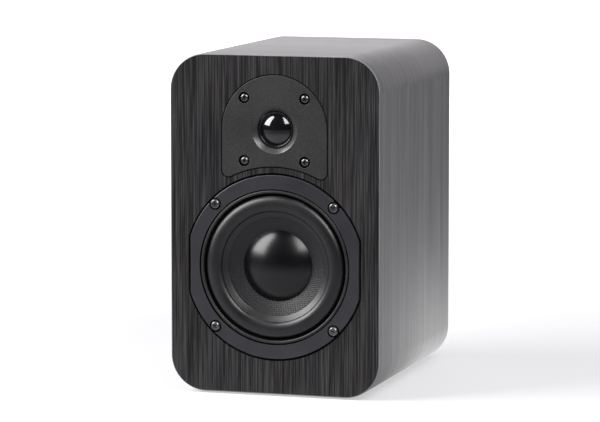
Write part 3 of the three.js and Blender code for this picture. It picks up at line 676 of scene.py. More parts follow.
def make_vinyl():
    """Grey wrap with a printed brushed grain that runs round the box."""
    made, tree, shader, place = start_material("brushed_vinyl")
    uv = node(tree, "ShaderNodeUVMap", uv_map="UVMap").outputs[0]
    parts = node(tree, "ShaderNodeSeparateXYZ", {0: uv}).outputs
    turned = node(tree, "ShaderNodeCombineXYZ", {0: parts[1], 1: parts[0], 2: 0.0}).outputs[0]
    grain = use_group(tree, GRAIN, {"Vector": turned, "Width": 900.0, "Length": 6.0, "Wander": 0.001})
    colour = mixed(tree, grain["Figure"], (0.052, 0.0505, 0.053), (0.15, 0.146, 0.152))
    tinted = mixed(tree, grain["Tint"], (0.135, 0.12, 0.125), (0.12, 0.127, 0.12))
    colour = mixed(tree, 0.35, colour, tinted)
    colour = mixed(tree, product(tree, grain["Fibre"], 0.45), colour, (0.2, 0.195, 0.203))
    colour = mixed(tree, product(tree, grain["Pore"], 0.4), colour, (0.055, 0.055, 0.057))
    lying = use_group(tree, DUST, {"Vector": place, "Amount": 0.08})["Dust"]
    colour = mixed(tree, lying, colour, (0.5, 0.5, 0.5))
    tree.links.new(colour, shader.inputs["Base Color"])
    tree.links.new(spread(tree, grain["Fibre"], 0.0, 1.0, 0.4, 0.52), shader.inputs["Roughness"])
    bump(tree, shader, grain["Fibre"], 0.12, 0.0001)
    shader.inputs["Specular IOR Level"].default_value = 0.35
    return made


WOOD = make_wood()
VINYL = make_vinyl()
# Painted highlight, partly a paler veneer edge: a pale grey for the eased outer edge of the wood.
EDGE_BAND_AND_HIGHLIGHT = moulded("edge_band_and_highlight", (0.14, 0.14, 0.142), (0.19, 0.19, 0.192), 0.3, 900.0, 0.1)
# Painted shade: a near-black matt finish for gap walls, grooves, the roll's lip and screw seats, where
# shadow lies.
SHADOW_BLACK = moulded(
    "painted_shadow_black",
    (0.0012, 0.0012, 0.0012),
    (0.002, 0.002, 0.002),
    0.9,
    900.0,
    0.1,
    edge_wear_and_highlight=(0.003, 0.003, 0.003),
    dust=0.0,
    Specular_IOR_Level=0.05,
)
print("materials", WOOD.name, VINYL.name)

# %% Fibreboard and its paint


def make_board(name, painted_from, painted_to, black_low, black_high):
    """Raw fibreboard, painted between two greys where its depth lies between two planes."""
    made, tree, shader, place = start_material(name)
    texture = use_group(tree, SPECKLE, {"Vector": place, "Scale": 700.0})
    raw = mixed(tree, texture["Height"], (0.24, 0.155, 0.085), (0.4, 0.28, 0.17))
    raw = mixed(tree, product(tree, texture["Mottle"], 0.3), raw, (0.3, 0.2, 0.12))
    depth = depth_of(tree, place)
    inside = math_node(tree, "GREATER_THAN", depth, painted_from)
    before = math_node(tree, "LESS_THAN", depth, painted_to)
    paint = product(tree, inside, before)
    black = mixed(tree, texture["Mottle"], (black_low,) * 3, (black_high,) * 3)
    lying = use_group(tree, DUST, {"Vector": place, "Amount": 0.1})["Dust"]
    colour = mixed(tree, paint, raw, mixed(tree, lying, black, (0.4, 0.4, 0.4)))
    tree.links.new(colour, shader.inputs["Base Color"])
    tree.links.new(spread(tree, paint, 0.0, 1.0, 0.9, 0.6), shader.inputs["Roughness"])
    shader.inputs["Specular IOR Level"].default_value = 0.2
    bump(tree, shader, texture["Height"], 0.3, 0.0001)
    return made


BACK_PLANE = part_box("cabinet_sleeve")[1].y
PANEL_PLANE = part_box("rear_panel")[0].y
PAINT_SKIN = 0.5 * MM
PAINT_AND_SHADE_IN_REBATES = 7 * MM
ALL_BEFORE = -1.0
ALL_BEHIND = 1.0
SLEEVE_BOARD = make_board("sleeve_board", BACK_PLANE - PAINT_SKIN, ALL_BEHIND, 0.016, 0.026)
# Painted shade over real black paint: the baffle's front 7 mm is near black so the rebates seen through the
# gaps read as shadow.
BAFFLE_BOARD = make_board("baffle_board", ALL_BEFORE, FACE.y + PAINT_AND_SHADE_IN_REBATES, 0.001, 0.002)
BACK_BOARD = make_board("back_board", PANEL_PLANE + PAINT_SKIN, ALL_BEHIND, 0.016, 0.026)
print("boards painted behind", BACK_PLANE)

# %% [markdown]
# ## Cabinet skin and front face
# The wrap is 0.8 mm thick and turns over at both ends of the box, and the wood face stands just in front of
# it with its edge eased. These two small roundings are levels in a stack of outlines. The eased edge of the
# wood takes a pale finish, partly a paler veneer edge and partly a painted highlight, which draws the thin
# bright line round the front.

# %% Cabinet skin and front face
SKIN = 0.8
FOLD = 0.32
FOLD_MIDDLE = 0.09
BOX_FRONT, BOX_BACK = depths("cabinet_wrap")
VENEER = depths("front_veneer")[1]
wrap_levels = [
    (SKIN, BOX_FRONT),
    (FOLD, BOX_FRONT),
    (FOLD_MIDDLE, BOX_FRONT + FOLD_MIDDLE),
    (0.0, BOX_FRONT + FOLD),
    (0.0, BOX_BACK - FOLD),
    (FOLD_MIDDLE, BOX_BACK - FOLD_MIDDLE),
    (FOLD, BOX_BACK),
    (SKIN, BOX_BACK),
]
cabinet_skin = stacked("cabinet_skin", [(box_outline, wrap_levels)], FACE, VINYL, capped=False)
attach(cabinet_skin, "root")
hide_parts("cabinet_wrap")

EASE = 0.75
face_levels = [(EASE, 0), (0.22, 0.22), (0, EASE), (0, VENEER)]
opening_levels = [(0.2, 0), (0, 0.2), (0, VENEER)]


SHADOW_GAP = 0.3


def opening(outline, z, clearance):
    """An outline moved up and grown by a clearance, whose inset is growth as well."""
    return lambda inset: [(x, up + z) for x, up in outline(clearance + inset)]


front_face = stacked(
    "front_face",
    [
        (box_outline, face_levels),
        (opening(flange_outline, WOOFER.z / MM, FLANGE_FIT + SHADOW_GAP), opening_levels),
        (opening(arch_outline, TWEETER.z / MM, PLATE_FIT), opening_levels),
    ],
    FACE,
    WOOD,
)
MARGIN = 2
OPENING_TOP = TWEETER.z + (ARCH_HALF + MARGIN) * MM
OPENING_SIDE = (FLANGE_FLAT + MARGIN) * MM
OPENING_FOOT = WOOFER.z - (FLANGE_RADIUS + MARGIN) * MM


def in_opening(at):
    """Whether a point lies within the rectangle that holds both openings."""
    return abs(at.x) < OPENING_SIDE and OPENING_FOOT < at.z < OPENING_TOP


# Painted highlight, partly a paler veneer edge: the eased outer edge of the wood takes the pale finish that
# draws the bright line round the front.
refinish(
    front_face,
    EDGE_BAND_AND_HIGHLIGHT,
    lambda at, facing: at.y < FACE.y + EASE * MM and sloped(facing) and not in_opening(at),
)
# Painted shade, partly a black-painted edge: the walls of both openings take the near-black finish so the
# gaps round the flange and the plate read as shadow.
refinish(front_face, SHADOW_BLACK, lambda at, facing: sloped(facing) and in_opening(at))
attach(front_face, "root")
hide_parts("front_veneer")
print("skin faces", len(cabinet_skin.data.polygons), "face faces", len(front_face.data.polygons))

# %% [markdown]
# ## Drivers: finishes
# The woofer frame is cast and powder painted, the tweeter plate is moulded with a fine
# texture, the surround is butyl rubber, and the cone is woven and lacquered. The dust cap
# and the dome are mirror-smooth black, and that is where the lights show as soft squares.

# %% Driver finishes
# Painted highlight, partly rubbed wear: the frame's edges turn a much paler grey, which draws the bright
# lines along the flange's chamfer.
FRAME_PAINT = moulded(
    "frame_paint",
    (0.022, 0.022, 0.026),
    (0.028, 0.028, 0.033),
    0.32,
    3200.0,
    0.12,
    edge_wear_and_highlight=(0.2, 0.2, 0.22),
    Specular_IOR_Level=0.35,
)
PLATE = moulded(
    "moulded_plate",
    (0.012, 0.012, 0.012),
    (0.018, 0.018, 0.018),
    0.5,
    900.0,
    1.0,
    paler_tops=0.4,
    Specular_IOR_Level=0.3,
)
BLACK_PLASTIC = moulded("black_plastic", (0.012, 0.012, 0.012), (0.018, 0.018, 0.018), 0.4)
HORN_SATIN = moulded("horn_satin", (0.03, 0.03, 0.031), (0.04, 0.04, 0.041), 0.3, 2500.0, 0.03)
SILK_COAT = moulded("silk_coat", (0.004, 0.004, 0.0045), (0.006, 0.006, 0.0065), 0.2, 2000.0, 0.03)
RUBBER = moulded("butyl_rubber", (0.006, 0.006, 0.007), (0.009, 0.009, 0.0105), 0.38, 1800.0, 0.06)
FOAM = moulded("closed_foam", (0.016, 0.016, 0.017), (0.03, 0.03, 0.032), 0.9, 900.0, 0.6)
# Painted highlight, partly rubbed wear: the heads' edges turn pale, which draws the bright rim round each
# screw.
BLACK_SCREW = moulded(
    "black_screw",
    (0.12, 0.12, 0.123),
    (0.16, 0.16, 0.165),
    0.24,
    1500.0,
    0.05,
    edge_wear_and_highlight=(0.6, 0.6, 0.62),
    Metallic=0.9,
)
STEEL = moulded("zinc_steel", (0.4, 0.4, 0.38), (0.55, 0.55, 0.53), 0.36, 900.0, 0.1, Metallic=1.0)
GOLD = moulded("gold_plate", (0.75, 0.52, 0.2), (0.86, 0.62, 0.27), 0.24, 900.0, 0.05, Metallic=1.0)
FERRITE = moulded("ferrite", (0.02, 0.02, 0.021), (0.05, 0.05, 0.052), 0.75, 1200.0, 0.4)
RED_PLASTIC = moulded("red_plastic", (0.36, 0.008, 0.008), (0.46, 0.013, 0.012), 0.28, 1500.0, 0.06)


def make_gloss(name, colour, rough, specular):
    """A lacquered black surface: a smooth coat over a slightly uneven base."""
    made, tree, shader, place = start_material(name)
    slow = {"Vector": place, "Scale": 50.0, "Detail": 3.0}
    patch = node(tree, "ShaderNodeTexNoise", slow).outputs[0]
    light = tuple(1.5 * value for value in colour)
    tree.links.new(mixed(tree, patch, colour, light), shader.inputs["Base Color"])
    tree.links.new(spread(tree, patch, 0.3, 0.7, rough, rough + 0.05), shader.inputs["Roughness"])
    shader.inputs["Specular IOR Level"].default_value = specular
    return made


CAP_GLOSS = make_gloss("cap_lacquer", (0.002, 0.002, 0.0025), 0.22, 0.45)
DOME_GLOSS = make_gloss("dome_lacquer", (0.003, 0.003, 0.0035), 0.05, 0.9)


def make_cone_cloth():
    """Woven glass cloth under black lacquer: it shines along its threads."""
    made, tree, shader, place = start_material("woven_cone")
    flat = front_plane(tree, place)
    cloth = use_group(tree, WEAVE, {"Vector": flat, "Threads": 700.0})
    colour = mixed(tree, cloth["Warp"], (0.011, 0.011, 0.0125), (0.016, 0.016, 0.018))
    colour = mixed(tree, cloth["Gap"], colour, (0.004, 0.004, 0.004))
    tree.links.new(colour, shader.inputs["Base Color"])
    tree.links.new(spread(tree, cloth["Warp"], 0.0, 1.0, 0.34, 0.42), shader.inputs["Roughness"])
    bump(tree, shader, cloth["Height"], 0.4, 0.0003)
    shader.inputs["Specular IOR Level"].default_value = 0.35
    return made


CONE_CLOTH = make_cone_cloth()
print("driver finishes made")

# %% [markdown]
# ## Woofer frame
# A cast frame: a painted flange with a flat on each side, an inner ledge for the surround,
# and a basket on four spokes that holds the motor. It is one turned profile whose outer
# radius depends on the angle, so the flats come free. The windows and the screw seats are
# then cut with an exact boolean, because no profile can hold them.

# %% Woofer frame
FLANGE_THICK = 4.0
SCREW_RING = 68.0
GROOVE = 61.1
LEDGE = 60.9
LEDGE_DEPTH = 3.4
BASKET = 59.0
BASKET_INSIDE = 56.4
NECK = 45.0
NECK_INSIDE = 42.8
SPIDER_SEAT = 31.5
MOTOR_SEAT = 44.0
MOTOR_WEB = 41.5
WINDOW_FRONT = 11.5
WINDOW_BACK = 28.5
SPOKE = 16.0


def edge_at(inset):
    """The flange's edge as a radius that depends on the angle."""
    return lambda angle: flange_reach(angle, inset)


frame_profile = [
    (GROOVE, 0.0),
    (edge_at(0.6), 0.0),
    (edge_at(0.18), 0.16),
    (edge_at(0.0), 0.6),
    (edge_at(0.0), FLANGE_THICK),
    (BASKET, FLANGE_THICK),
    (BASKET, 9.0),
    (NECK, 30.0),
    (NECK, MOTOR_SEAT),
    (24.0, MOTOR_SEAT),
    (24.0, MOTOR_WEB),
    (40.0, MOTOR_WEB),
    (40.0, SPIDER_SEAT),
    (NECK_INSIDE, SPIDER_SEAT),
    (NECK_INSIDE, 29.5),
    (BASKET_INSIDE, 9.0),
    (BASKET_INSIDE, LEDGE_DEPTH),
    (LEDGE, LEDGE_DEPTH),
    (LEDGE, 0.2),
]


def cut(target, cutters):
    """Cuts the cutters out of the target for good, and removes them."""
    for cutter in cutters:
        modifier = target.modifiers.new("cut", "BOOLEAN")
        modifier.operation = "DIFFERENCE"
        modifier.solver = "EXACT"
        modifier.object = cutter
        graph = bpy.context.evaluated_depsgraph_get()
        mesh = bpy.data.meshes.new_from_object(target.evaluated_get(graph), depsgraph=graph)
        target.modifiers.clear()
        old = target.data
        target.data = mesh
        mesh.name = old.name
        bpy.data.meshes.remove(old)
        bpy.data.objects.remove(cutter)
    tidy_mesh(target.data)


woofer_frame = spun("woofer_frame", frame_profile, WOOFER, FRAME_PAINT, 180)
SEAT = 5.0
seat = [(0, -2.0), (SEAT, -2.0), (SEAT, -0.05), (SEAT - 0.25, 0.2), (SEAT - 0.25, 0.6)]
seat += [(2.3, 0.6), (2.3, 6.0), (0, 6.0)]
quarters = [math.radians(45 + 90 * k) for k in range(4)]
seats = [WOOFER + Vector((math.cos(a), 0, math.sin(a))) * SCREW_RING * MM for a in quarters]
cutters = [spun("seat_cutter", seat, place, FRAME_PAINT, 40) for place in seats]


def turned_about(points, angle):
    """Points of an outline turned about its origin."""
    cosine, sine = math.cos(angle), math.sin(angle)
    return [(x * cosine - z * sine, x * sine + z * cosine) for x, z in points]


reach = 90.0
start = SPOKE / math.sqrt(2)
window = [(start, 0.0), (reach, reach - start), (reach, start - reach)]
window_levels = [(0, WINDOW_FRONT), (0, WINDOW_BACK)]
for k in range(4):
    corners = turned_about(window, math.radians(90 * k))
    section = (lambda inset, points=corners: points, window_levels)
    cutters.append(stacked("window_cutter", [section], WOOFER, FRAME_PAINT))
cut(woofer_frame, cutters)
# Painted shade: the groove and ledge inside the flange take the near-black finish, for the shadow in the gap
# by the trim ring.
refinish(
    woofer_frame,
    SHADOW_BLACK,
    lambda at, facing: LEDGE - 0.4 < away_from(at, WOOFER) < GROOVE + 0.3
    and at.y > WOOFER.y + 0.05 * MM,
)
# Painted shade: the walls of the four screw seats take the near-black finish, for the dark ring of shadow
# round each head.
refinish(
    woofer_frame,
    SHADOW_BLACK,
    lambda at, facing: at.y > WOOFER.y + 0.1 * MM
    and min(away_from(at, place) for place in seats) < SEAT + 0.2,
)
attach(woofer_frame, "root")
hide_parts("woofer_basket")
print("frame faces", len(woofer_frame.data.polygons))

# %% [markdown]
# ## Trim ring, surround, cone and dust cap
# Four turned pieces fill the frame. The surround is a half roll between a lip on the frame
# and a lip on the cone, and it has to stretch when the cone moves: it follows the frame
# at its outer lip and the cone at its inner lip. The blend call gives weights along a line,
# so they are then rewritten to run along the radius.

# %% Woofer's round pieces


def bow(centre, radii, first, last, steps):
    """Profile points on an ellipse between two angles in degrees."""
    made = []
    for k in range(steps + 1):
        angle = math.radians(first + (last - first) * k / steps)
        across, along = radii[0] * math.cos(angle), radii[1] * math.sin(angle)
        made.append((centre[0] + across, centre[1] + along))
    return made


def domed(radius, height, rim, steps, inward, thick):
    """The profile of a shallow cap: its front from the pole to the rim, then its back."""
    sphere = (radius**2 + height**2) / (2 * height)
    front = [(0, rim - height)]
    for k in range(1, steps + 1):
        reach = radius * math.sin(math.pi / 2 * k / steps)
        sag = sphere - math.sqrt(sphere**2 - reach**2)
        front.append((reach, rim - height + sag))
    back = [(max(reach - inward, 0), depth + thick) for reach, depth in front]
    back[0] = (0, front[0][1] + thick)
    return front + back[::-1]


def blend_by_radius(piece, at, moving, outer, inner):
    """Blends a ring from the frame at its outer lip to a moving body at its inner lip."""
    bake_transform(piece, "root", moving, at + Vector((outer * MM, 0, 0)), at + Vector((inner * MM, 0, 0)))
    weights = piece.data.attributes["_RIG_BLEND"].data
    for vertex, weight in zip(piece.data.vertices, weights):
        share = min(1.0, max(0.0, (outer - away_from(vertex.co, at)) / (outer - inner)))
        weight.value = share * share * (3 - 2 * share)


TRIM_INNER = 57.8
TRIM_OUTER = 60.1
TRIM_ROUND = (0.9, 0.85)
ring_profile = [(TRIM_INNER, 2.4), (TRIM_INNER, 1.0)]
ring_profile += bow((TRIM_INNER + TRIM_ROUND[0], 1.1), TRIM_ROUND, 180, 270, 6)[1:]
ring_profile += bow((TRIM_OUTER - TRIM_ROUND[0], 1.1), TRIM_ROUND, 270, 360, 6)
ring_profile += [(TRIM_OUTER, 2.4)]
trim_ring = spun("trim_ring", ring_profile, WOOFER, BLACK_PLASTIC, 180)
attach(trim_ring, "root")
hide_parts("woofer_trim_ring")

ROLL = (49.3, 2.9)
ROLL_SIZE = (6.2, 3.9)
ROLL_OUTER = 55.5
ROLL_INNER = 43.1
RUBBER_THICK = 0.8
roll_profile = [(60.0, 2.5), (57.9, 2.5), (56.8, 3.1), (55.6, 3.1)]
roll_profile += bow(ROLL, ROLL_SIZE, 0, -180, 28)
roll_profile += [(42.4, 3.35), (39.3, 4.7), (39.0, 4.95), (39.05, 5.4), (39.4, 5.5)]
roll_profile += [(42.6, 4.15), (43.7, 3.75)]
roll_profile += bow(ROLL, [size - RUBBER_THICK for size in ROLL_SIZE], -180, 0, 28)
roll_profile += [(54.9, 3.38), (60.0, 3.38)]
surround_roll = spun("surround_roll", roll_profile, WOOFER, RUBBER, 180)
# Painted shade: the surround's outer lip, down in the gap by the trim ring, takes the near-black finish.
refinish(surround_roll, SHADOW_BLACK, lambda at, facing: away_from(at, WOOFER) > ROLL_OUTER)
blend_by_radius(surround_roll, WOOFER, "woofer_moving", ROLL_OUTER, ROLL_INNER)
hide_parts("woofer_surround")

CONE_THICK = 1.0
CONE_NECK = 13.15
cone_front = [(42.9, 4.35), (38.0, 6.1), (34.0, 7.6), (30.0, 9.25), (26.5, 10.9)]
cone_front += [(22.0, 13.4), (18.0, 16.3), (15.0, 19.0), (CONE_NECK, 21.4)]
cone_back = [(radius + 0.35, depth + CONE_THICK) for radius, depth in cone_front]
cone_back[0] = (43.0, 4.6)
cone_back[-1] = (CONE_NECK, 22.3)
woven_cone = spun("woven_cone", cone_front + cone_back[::-1], WOOFER, CONE_CLOTH)
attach(woven_cone, "woofer_moving")
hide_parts("woofer_cone")

CAP_RADIUS = 27.8
CAP_HEIGHT = 9.6
CAP_RIM = 10.2
cap_profile = domed(CAP_RADIUS, CAP_HEIGHT, CAP_RIM, 30, 0.35, 0.55)
dust_cap = spun("dust_cap", cap_profile, WOOFER, CAP_GLOSS)
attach(dust_cap, "woofer_moving")
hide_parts("woofer_dust_cap")
print("surround", len(surround_roll.data.polygons), "cone", len(woven_cone.data.polygons))

# %% [markdown]
# ## Tweeter plate, surround and dome
# The plate is an arch whose lower edge keeps an even strip of wood above the woofer. Its
# face dips in a short cone to the dome. The cone and the four screw seats are holes in
# the same stack of outlines, so each has its own small chamfer and no boolean is needed.

# %% Tweeter
TWEETER_SCREW = 24.5
PLATE_THICK = 4.0
HORN_THROAT = 14.75
HORN_MOUTH = HORN_THROAT + 3.85
horn_levels = [(3.95, 0.0), (3.7, 0.08), (3.5, 0.25), (0.15, 3.05), (0.0, 3.3), (0.0, PLATE_THICK)]
bore_levels = [(2.75, 0.0), (2.5, 0.25), (2.5, 2.0), (0.0, 2.0), (0.0, PLATE_THICK)]
plate_levels = [(-0.45, 0.0), (-0.14, 0.12), (0.0, 0.45), (0.0, PLATE_THICK)]
horn_hole = (circle_outline(HORN_THROAT, steps=96), horn_levels)
plate_parts = [(arch_outline, plate_levels), horn_hole]
for sx, sz in CORNERS:
    place = circle_outline(1.9, sx * TWEETER_SCREW, sz * TWEETER_SCREW)
    plate_parts.append((place, bore_levels))
tweeter_plate = stacked("tweeter_plate", plate_parts, TWEETER, PLATE)


def in_horn(at, facing):
    """Whether a face belongs to the short cone round the dome."""
    return (
        away_from(at, TWEETER) < HORN_MOUTH
        and at.y < TWEETER.y + 3.2 * MM
        and abs(facing.y) < 0.95
    )


def in_plate_bore(at, facing):
    """Whether a face lies inside one of the plate's screw seats."""
    across = abs(abs(at.x) - TWEETER_SCREW * MM)
    up = abs(abs(at.z - TWEETER.z) - TWEETER_SCREW * MM)
    return TWEETER.y + 0.3 * MM < at.y < TWEETER.y + 2.5 * MM and max(across, up) < 5 * MM


refinish(tweeter_plate, HORN_SATIN, in_horn)
# Painted shade: the walls of the plate's screw seats take the near-black finish, for the dark ring round
# each head.
refinish(tweeter_plate, SHADOW_BLACK, in_plate_bore)
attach(tweeter_plate, "root")
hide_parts("tweeter_faceplate")

DOME_ROLL = (13.65, 4.55)
small_roll = [(17.0, 4.1), (14.9, 4.1)]
small_roll += bow(DOME_ROLL, (1.05, 0.85), 0, -180, 16)
small_roll += [(12.4, 4.6), (12.4, 4.8), (12.9, 4.8)]
small_roll += bow(DOME_ROLL, (0.8, 0.6), -180, 0, 16)
small_roll += [(14.9, 4.7), (17.0, 4.7)]
tweeter_roll = spun("tweeter_roll", small_roll, TWEETER, SILK_COAT, 96)
blend_by_radius(tweeter_roll, TWEETER, "tweeter_moving", 14.7, 12.6)
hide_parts("tweeter_surround")

DOME_RADIUS = 12.4
DOME_HEIGHT = 4.5
DOME_RIM = 4.7
dome_profile = domed(DOME_RADIUS, DOME_HEIGHT, DOME_RIM, 24, 0.2, 0.25)
dome = spun("dome", dome_profile, TWEETER, DOME_GLOSS, 96)
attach(dome, "tweeter_moving")
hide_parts("tweeter_dome")
print("plate faces", len(tweeter_plate.data.polygons))

# %% [markdown]
# ## Screws
# Twelve screws in three sizes share one Geometry Nodes tree. Its input mesh is only a set of
# points, one for each screw. A head is a blank rounded by a flattened ball, the shank is
# joined on, and a cross is cut in the head. One screw is made and then put on each point with its
# own turn, as hand-driven screws have.

# %% Screw tree


def geometry_tree(name, inputs):
    """A Geometry Nodes group with a mesh in, named numbers, a material and a mesh out."""
    tree = bpy.data.node_groups.new(name, "GeometryNodeTree")
    face = tree.interface
    face.new_socket("Geometry", in_out="INPUT", socket_type="NodeSocketGeometry")
    for label, value in inputs.items():
        kind = "NodeSocketInt" if isinstance(value, int) else "NodeSocketFloat"
        face.new_socket(label, in_out="INPUT", socket_type=kind).default_value = value
    face.new_socket("Finish", in_out="INPUT", socket_type="NodeSocketMaterial")
    face.new_socket("Geometry", in_out="OUTPUT", socket_type="NodeSocketGeometry")
    return tree, node(tree, "NodeGroupInput").outputs


def close_tree(tree, shape, finish):
    """Realizes the instances, sets the material and ends the tree."""
    real = node(tree, "GeometryNodeRealizeInstances", {0: shape}).outputs[0]
    done = node(tree, "GeometryNodeSetMaterial", {"Geometry": real, "Material": finish}).outputs[0]
    node(tree, "NodeGroupOutput", {0: done})


def grown(name, base, tree, values, material):
    """Runs a tree on a mesh and keeps what it makes as a plain mesh object."""
    made = bpy.data.objects.new(name, base)
    bpy.context.scene.collection.objects.link(made)
    modifier = made.modifiers.new("grow", "NODES")
    modifier.node_group = tree
    for item in tree.interface.items_tree:
        if item.in_out == "INPUT" and item.name in values:
            modifier[item.identifier] = values[item.name]
        if item.in_out == "INPUT" and item.name == "Finish":
            modifier[item.identifier] = material
    graph = bpy.context.evaluated_depsgraph_get()
    mesh = bpy.data.meshes.new_from_object(made.evaluated_get(graph), depsgraph=graph)
    made.modifiers.clear()
    made.data = mesh
    mesh.name = name
    bpy.data.meshes.remove(base)
    tidy_mesh(mesh)
    if not mesh.materials:
        mesh.materials.append(material)
    return made


def combined(tree, x, y, z):
    """A vector from three numbers or sockets."""
    return node(tree, "ShaderNodeCombineXYZ", {0: x, 1: y, 2: z}).outputs[0]


def make_screw_tree():
    """A cross-head screw on each point of the input mesh."""
    sizes = {"Head": 0.004, "Under": 0.004, "Crown": 0.002, "Round": 1.2, "Shank": 0.0018}
    more = {"Length": 0.012, "Slot": 0.001, "Depth": 0.0012, "Facing": 1.5708, "Seed": 3}
    tree, given = geometry_tree("cross_head_screw", {**sizes, **more})
    half = product(tree, given["Crown"], 0.5)
    blank_sizes = {"Radius Top": given["Head"], "Radius Bottom": given["Under"]}
    blank_sizes.update({"Vertices": 40, "Depth": given["Crown"]})
    blank = node(tree, "GeometryNodeMeshCone", blank_sizes).outputs[0]
    ball = node(tree, "GeometryNodeMeshUVSphere", {"Segments": 40, "Rings": 40, "Radius": 1.0}).outputs[0]
    broad = product(tree, given["Head"], 1.01)
    deep = product(tree, given["Crown"], given["Round"])
    size = combined(tree, broad, broad, deep)
    ball = node(tree, "GeometryNodeTransform", {"Geometry": ball, "Scale": size}).outputs[0]
    head = node(tree, "GeometryNodeMeshBoolean", operation="INTERSECT")
    tree.links.new(blank, head.inputs["Mesh 2"])
    tree.links.new(ball, head.inputs["Mesh 2"])
    wide = product(tree, given["Head"], 1.05)
    top = math_node(tree, "SUBTRACT", given["Crown"], product(tree, given["Depth"], 0.5))
    tall = product(tree, given["Depth"], 1.2)
    lifted = combined(tree, 0.0, 0.0, math_node(tree, "MULTIPLY_ADD", given["Depth"], 0.15, top))
    wings = []
    for size in (combined(tree, wide, given["Slot"], tall), combined(tree, given["Slot"], wide, tall)):
        bar = node(tree, "GeometryNodeMeshCube", {"Size": size}).outputs[0]
        wing = node(tree, "GeometryNodeTransform", {"Geometry": bar, "Translation": lifted})
        wings.append(wing.outputs[0])
    long = math_node(tree, "ADD", given["Length"], half)
    rod_sizes = {"Vertices": 20, "Radius": given["Shank"], "Depth": long}
    rod = node(tree, "GeometryNodeMeshCylinder", rod_sizes).outputs[0]
    drop = combined(tree, 0.0, 0.0, math_node(tree, "MULTIPLY_ADD", long, -0.5, half))
    rod = node(tree, "GeometryNodeTransform", {"Geometry": rod, "Translation": drop}).outputs[0]
    whole = node(tree, "GeometryNodeMeshBoolean", operation="UNION")
    tree.links.new(head.outputs[0], whole.inputs["Mesh 2"])
    tree.links.new(rod, whole.inputs["Mesh 2"])
    uncut = {"Mesh 1": whole.outputs[0]}
    crossed = node(tree, "GeometryNodeMeshBoolean", uncut, operation="DIFFERENCE")
    for wing in wings:
        tree.links.new(wing, crossed.inputs["Mesh 2"])
    twist = node(tree, "FunctionNodeRandomValue", {"Seed": given["Seed"]}, data_type="FLOAT")
    twist.inputs[2].default_value = 0.0
    twist.inputs[3].default_value = math.pi / 2
    turn = combined(tree, 0.0, 0.0, twist.outputs[1])
    spin = node(tree, "FunctionNodeEulerToRotation", {0: turn}).outputs[0]
    tilt = combined(tree, given["Facing"], 0.0, 0.0)
    face = node(tree, "FunctionNodeEulerToRotation", {0: tilt}).outputs[0]
    turns = {"Rotation": face, "Rotate By": spin}
    both = node(tree, "FunctionNodeRotateRotation", turns, rotation_space="LOCAL").outputs[0]
    screw = {"Points": given["Geometry"], "Instance": crossed.outputs[0], "Rotation": both}
    placed = node(tree, "GeometryNodeInstanceOnPoints", screw).outputs[0]
    close_tree(tree, placed, given["Finish"])
    return tree


SCREW_TREE = make_screw_tree()
FORWARD = math.pi / 2


def screws(name, places, values, material, nodes):
    """A set of screws at places in the frame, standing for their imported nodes."""
    points = bpy.data.meshes.new(name + "_points")
    points.from_pydata(places, [], [])
    made = grown(name, points, SCREW_TREE, values, material)
    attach(made, "root")
    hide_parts(*nodes)
    return made


def four(at, x, z, depth):
    """The four corner places of a rectangular set of screws."""
    return [at + Vector((sx * x, depth, sz * z)) * MM for sx, sz in CORNERS]


ring_side = SCREW_RING / math.sqrt(2)
woofer_screws = screws(
    "woofer_screws",
    four(WOOFER, ring_side, ring_side, 0.6),
    {"Head": 3.85 * MM, "Under": 3.85 * MM, "Crown": 2 * MM, "Round": 1.4, "Slot": 1.15 * MM,
     "Shank": 2 * MM, "Length": 18 * MM, "Depth": 1.4 * MM, "Facing": FORWARD, "Seed": 5},
    BLACK_SCREW,
    [f"woofer_screw_{k}" for k in range(1, 5)],
)
screws(
    "tweeter_screws",
    four(TWEETER, TWEETER_SCREW, TWEETER_SCREW, 2.0),
    {"Head": 3.4 * MM, "Under": 3.4 * MM, "Crown": 1.8 * MM, "Round": 1.25, "Slot": 1.05 * MM,
     "Shank": 1.6 * MM, "Length": 14 * MM, "Depth": 1.3 * MM, "Facing": FORWARD, "Seed": 11},
    BLACK_SCREW,
    [f"tweeter_screw_{k}" for k in range(1, 5)],
)
print("woofer screws", len(woofer_screws.data.polygons), "faces")

# %% [markdown]
# ## The back: port, terminal tray, posts and nuts
# The port is a turned duct with a flared mouth. The tray is a moulded well, made as a stack
# of rounded rectangles with two holes in its floor. The binding posts and their thumb
# nuts carry repeated shapes, a screw thread and flutes, so Geometry Nodes make those.

# %% Port and tray
PORT_INNER_END, PORT_BACK = depths("port_tube")
PORT_BORE = 17.5
PORT_OUTSIDE = 20.0
PORT_FLANGE = 31.0
PORT_LIP = 2.8
LIP_ROUND = 0.8
FLARE = (12.7, 13.0)
flare_centre = (PORT_BORE + FLARE[0], PORT_BACK - FLARE[1])
port_profile = [(PORT_BORE, PORT_INNER_END), (PORT_BORE + 1.1, PORT_INNER_END)]
port_profile += [(PORT_OUTSIDE, PORT_INNER_END + 1.2), (PORT_OUTSIDE, PORT_BACK - PORT_LIP)]
port_profile += [(PORT_FLANGE, PORT_BACK - PORT_LIP)]
port_profile += bow((PORT_FLANGE - LIP_ROUND, PORT_BACK - LIP_ROUND), (LIP_ROUND, LIP_ROUND), 0, 90, 4)
port_profile += bow(flare_centre, FLARE, 109, 180, 14)
port_duct = spun("port_duct", port_profile, PORT, BLACK_PLASTIC, 96)
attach(port_duct, "root")
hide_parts("port_tube")


CUP_WIDTH = 84
CUP_HEIGHT = 66
CUP_CORNER = 6
CUP_LIP = 2.6
CUP_SCREWS = (37.5, 28.5)
POST_OUT = 21.0
POST_X = abs(middle("binding_post_red").x) / MM
CUP_BACK = depths("terminal_cup")[1]
CUP_FLOOR = depths("binding_post_red")[1] - POST_OUT


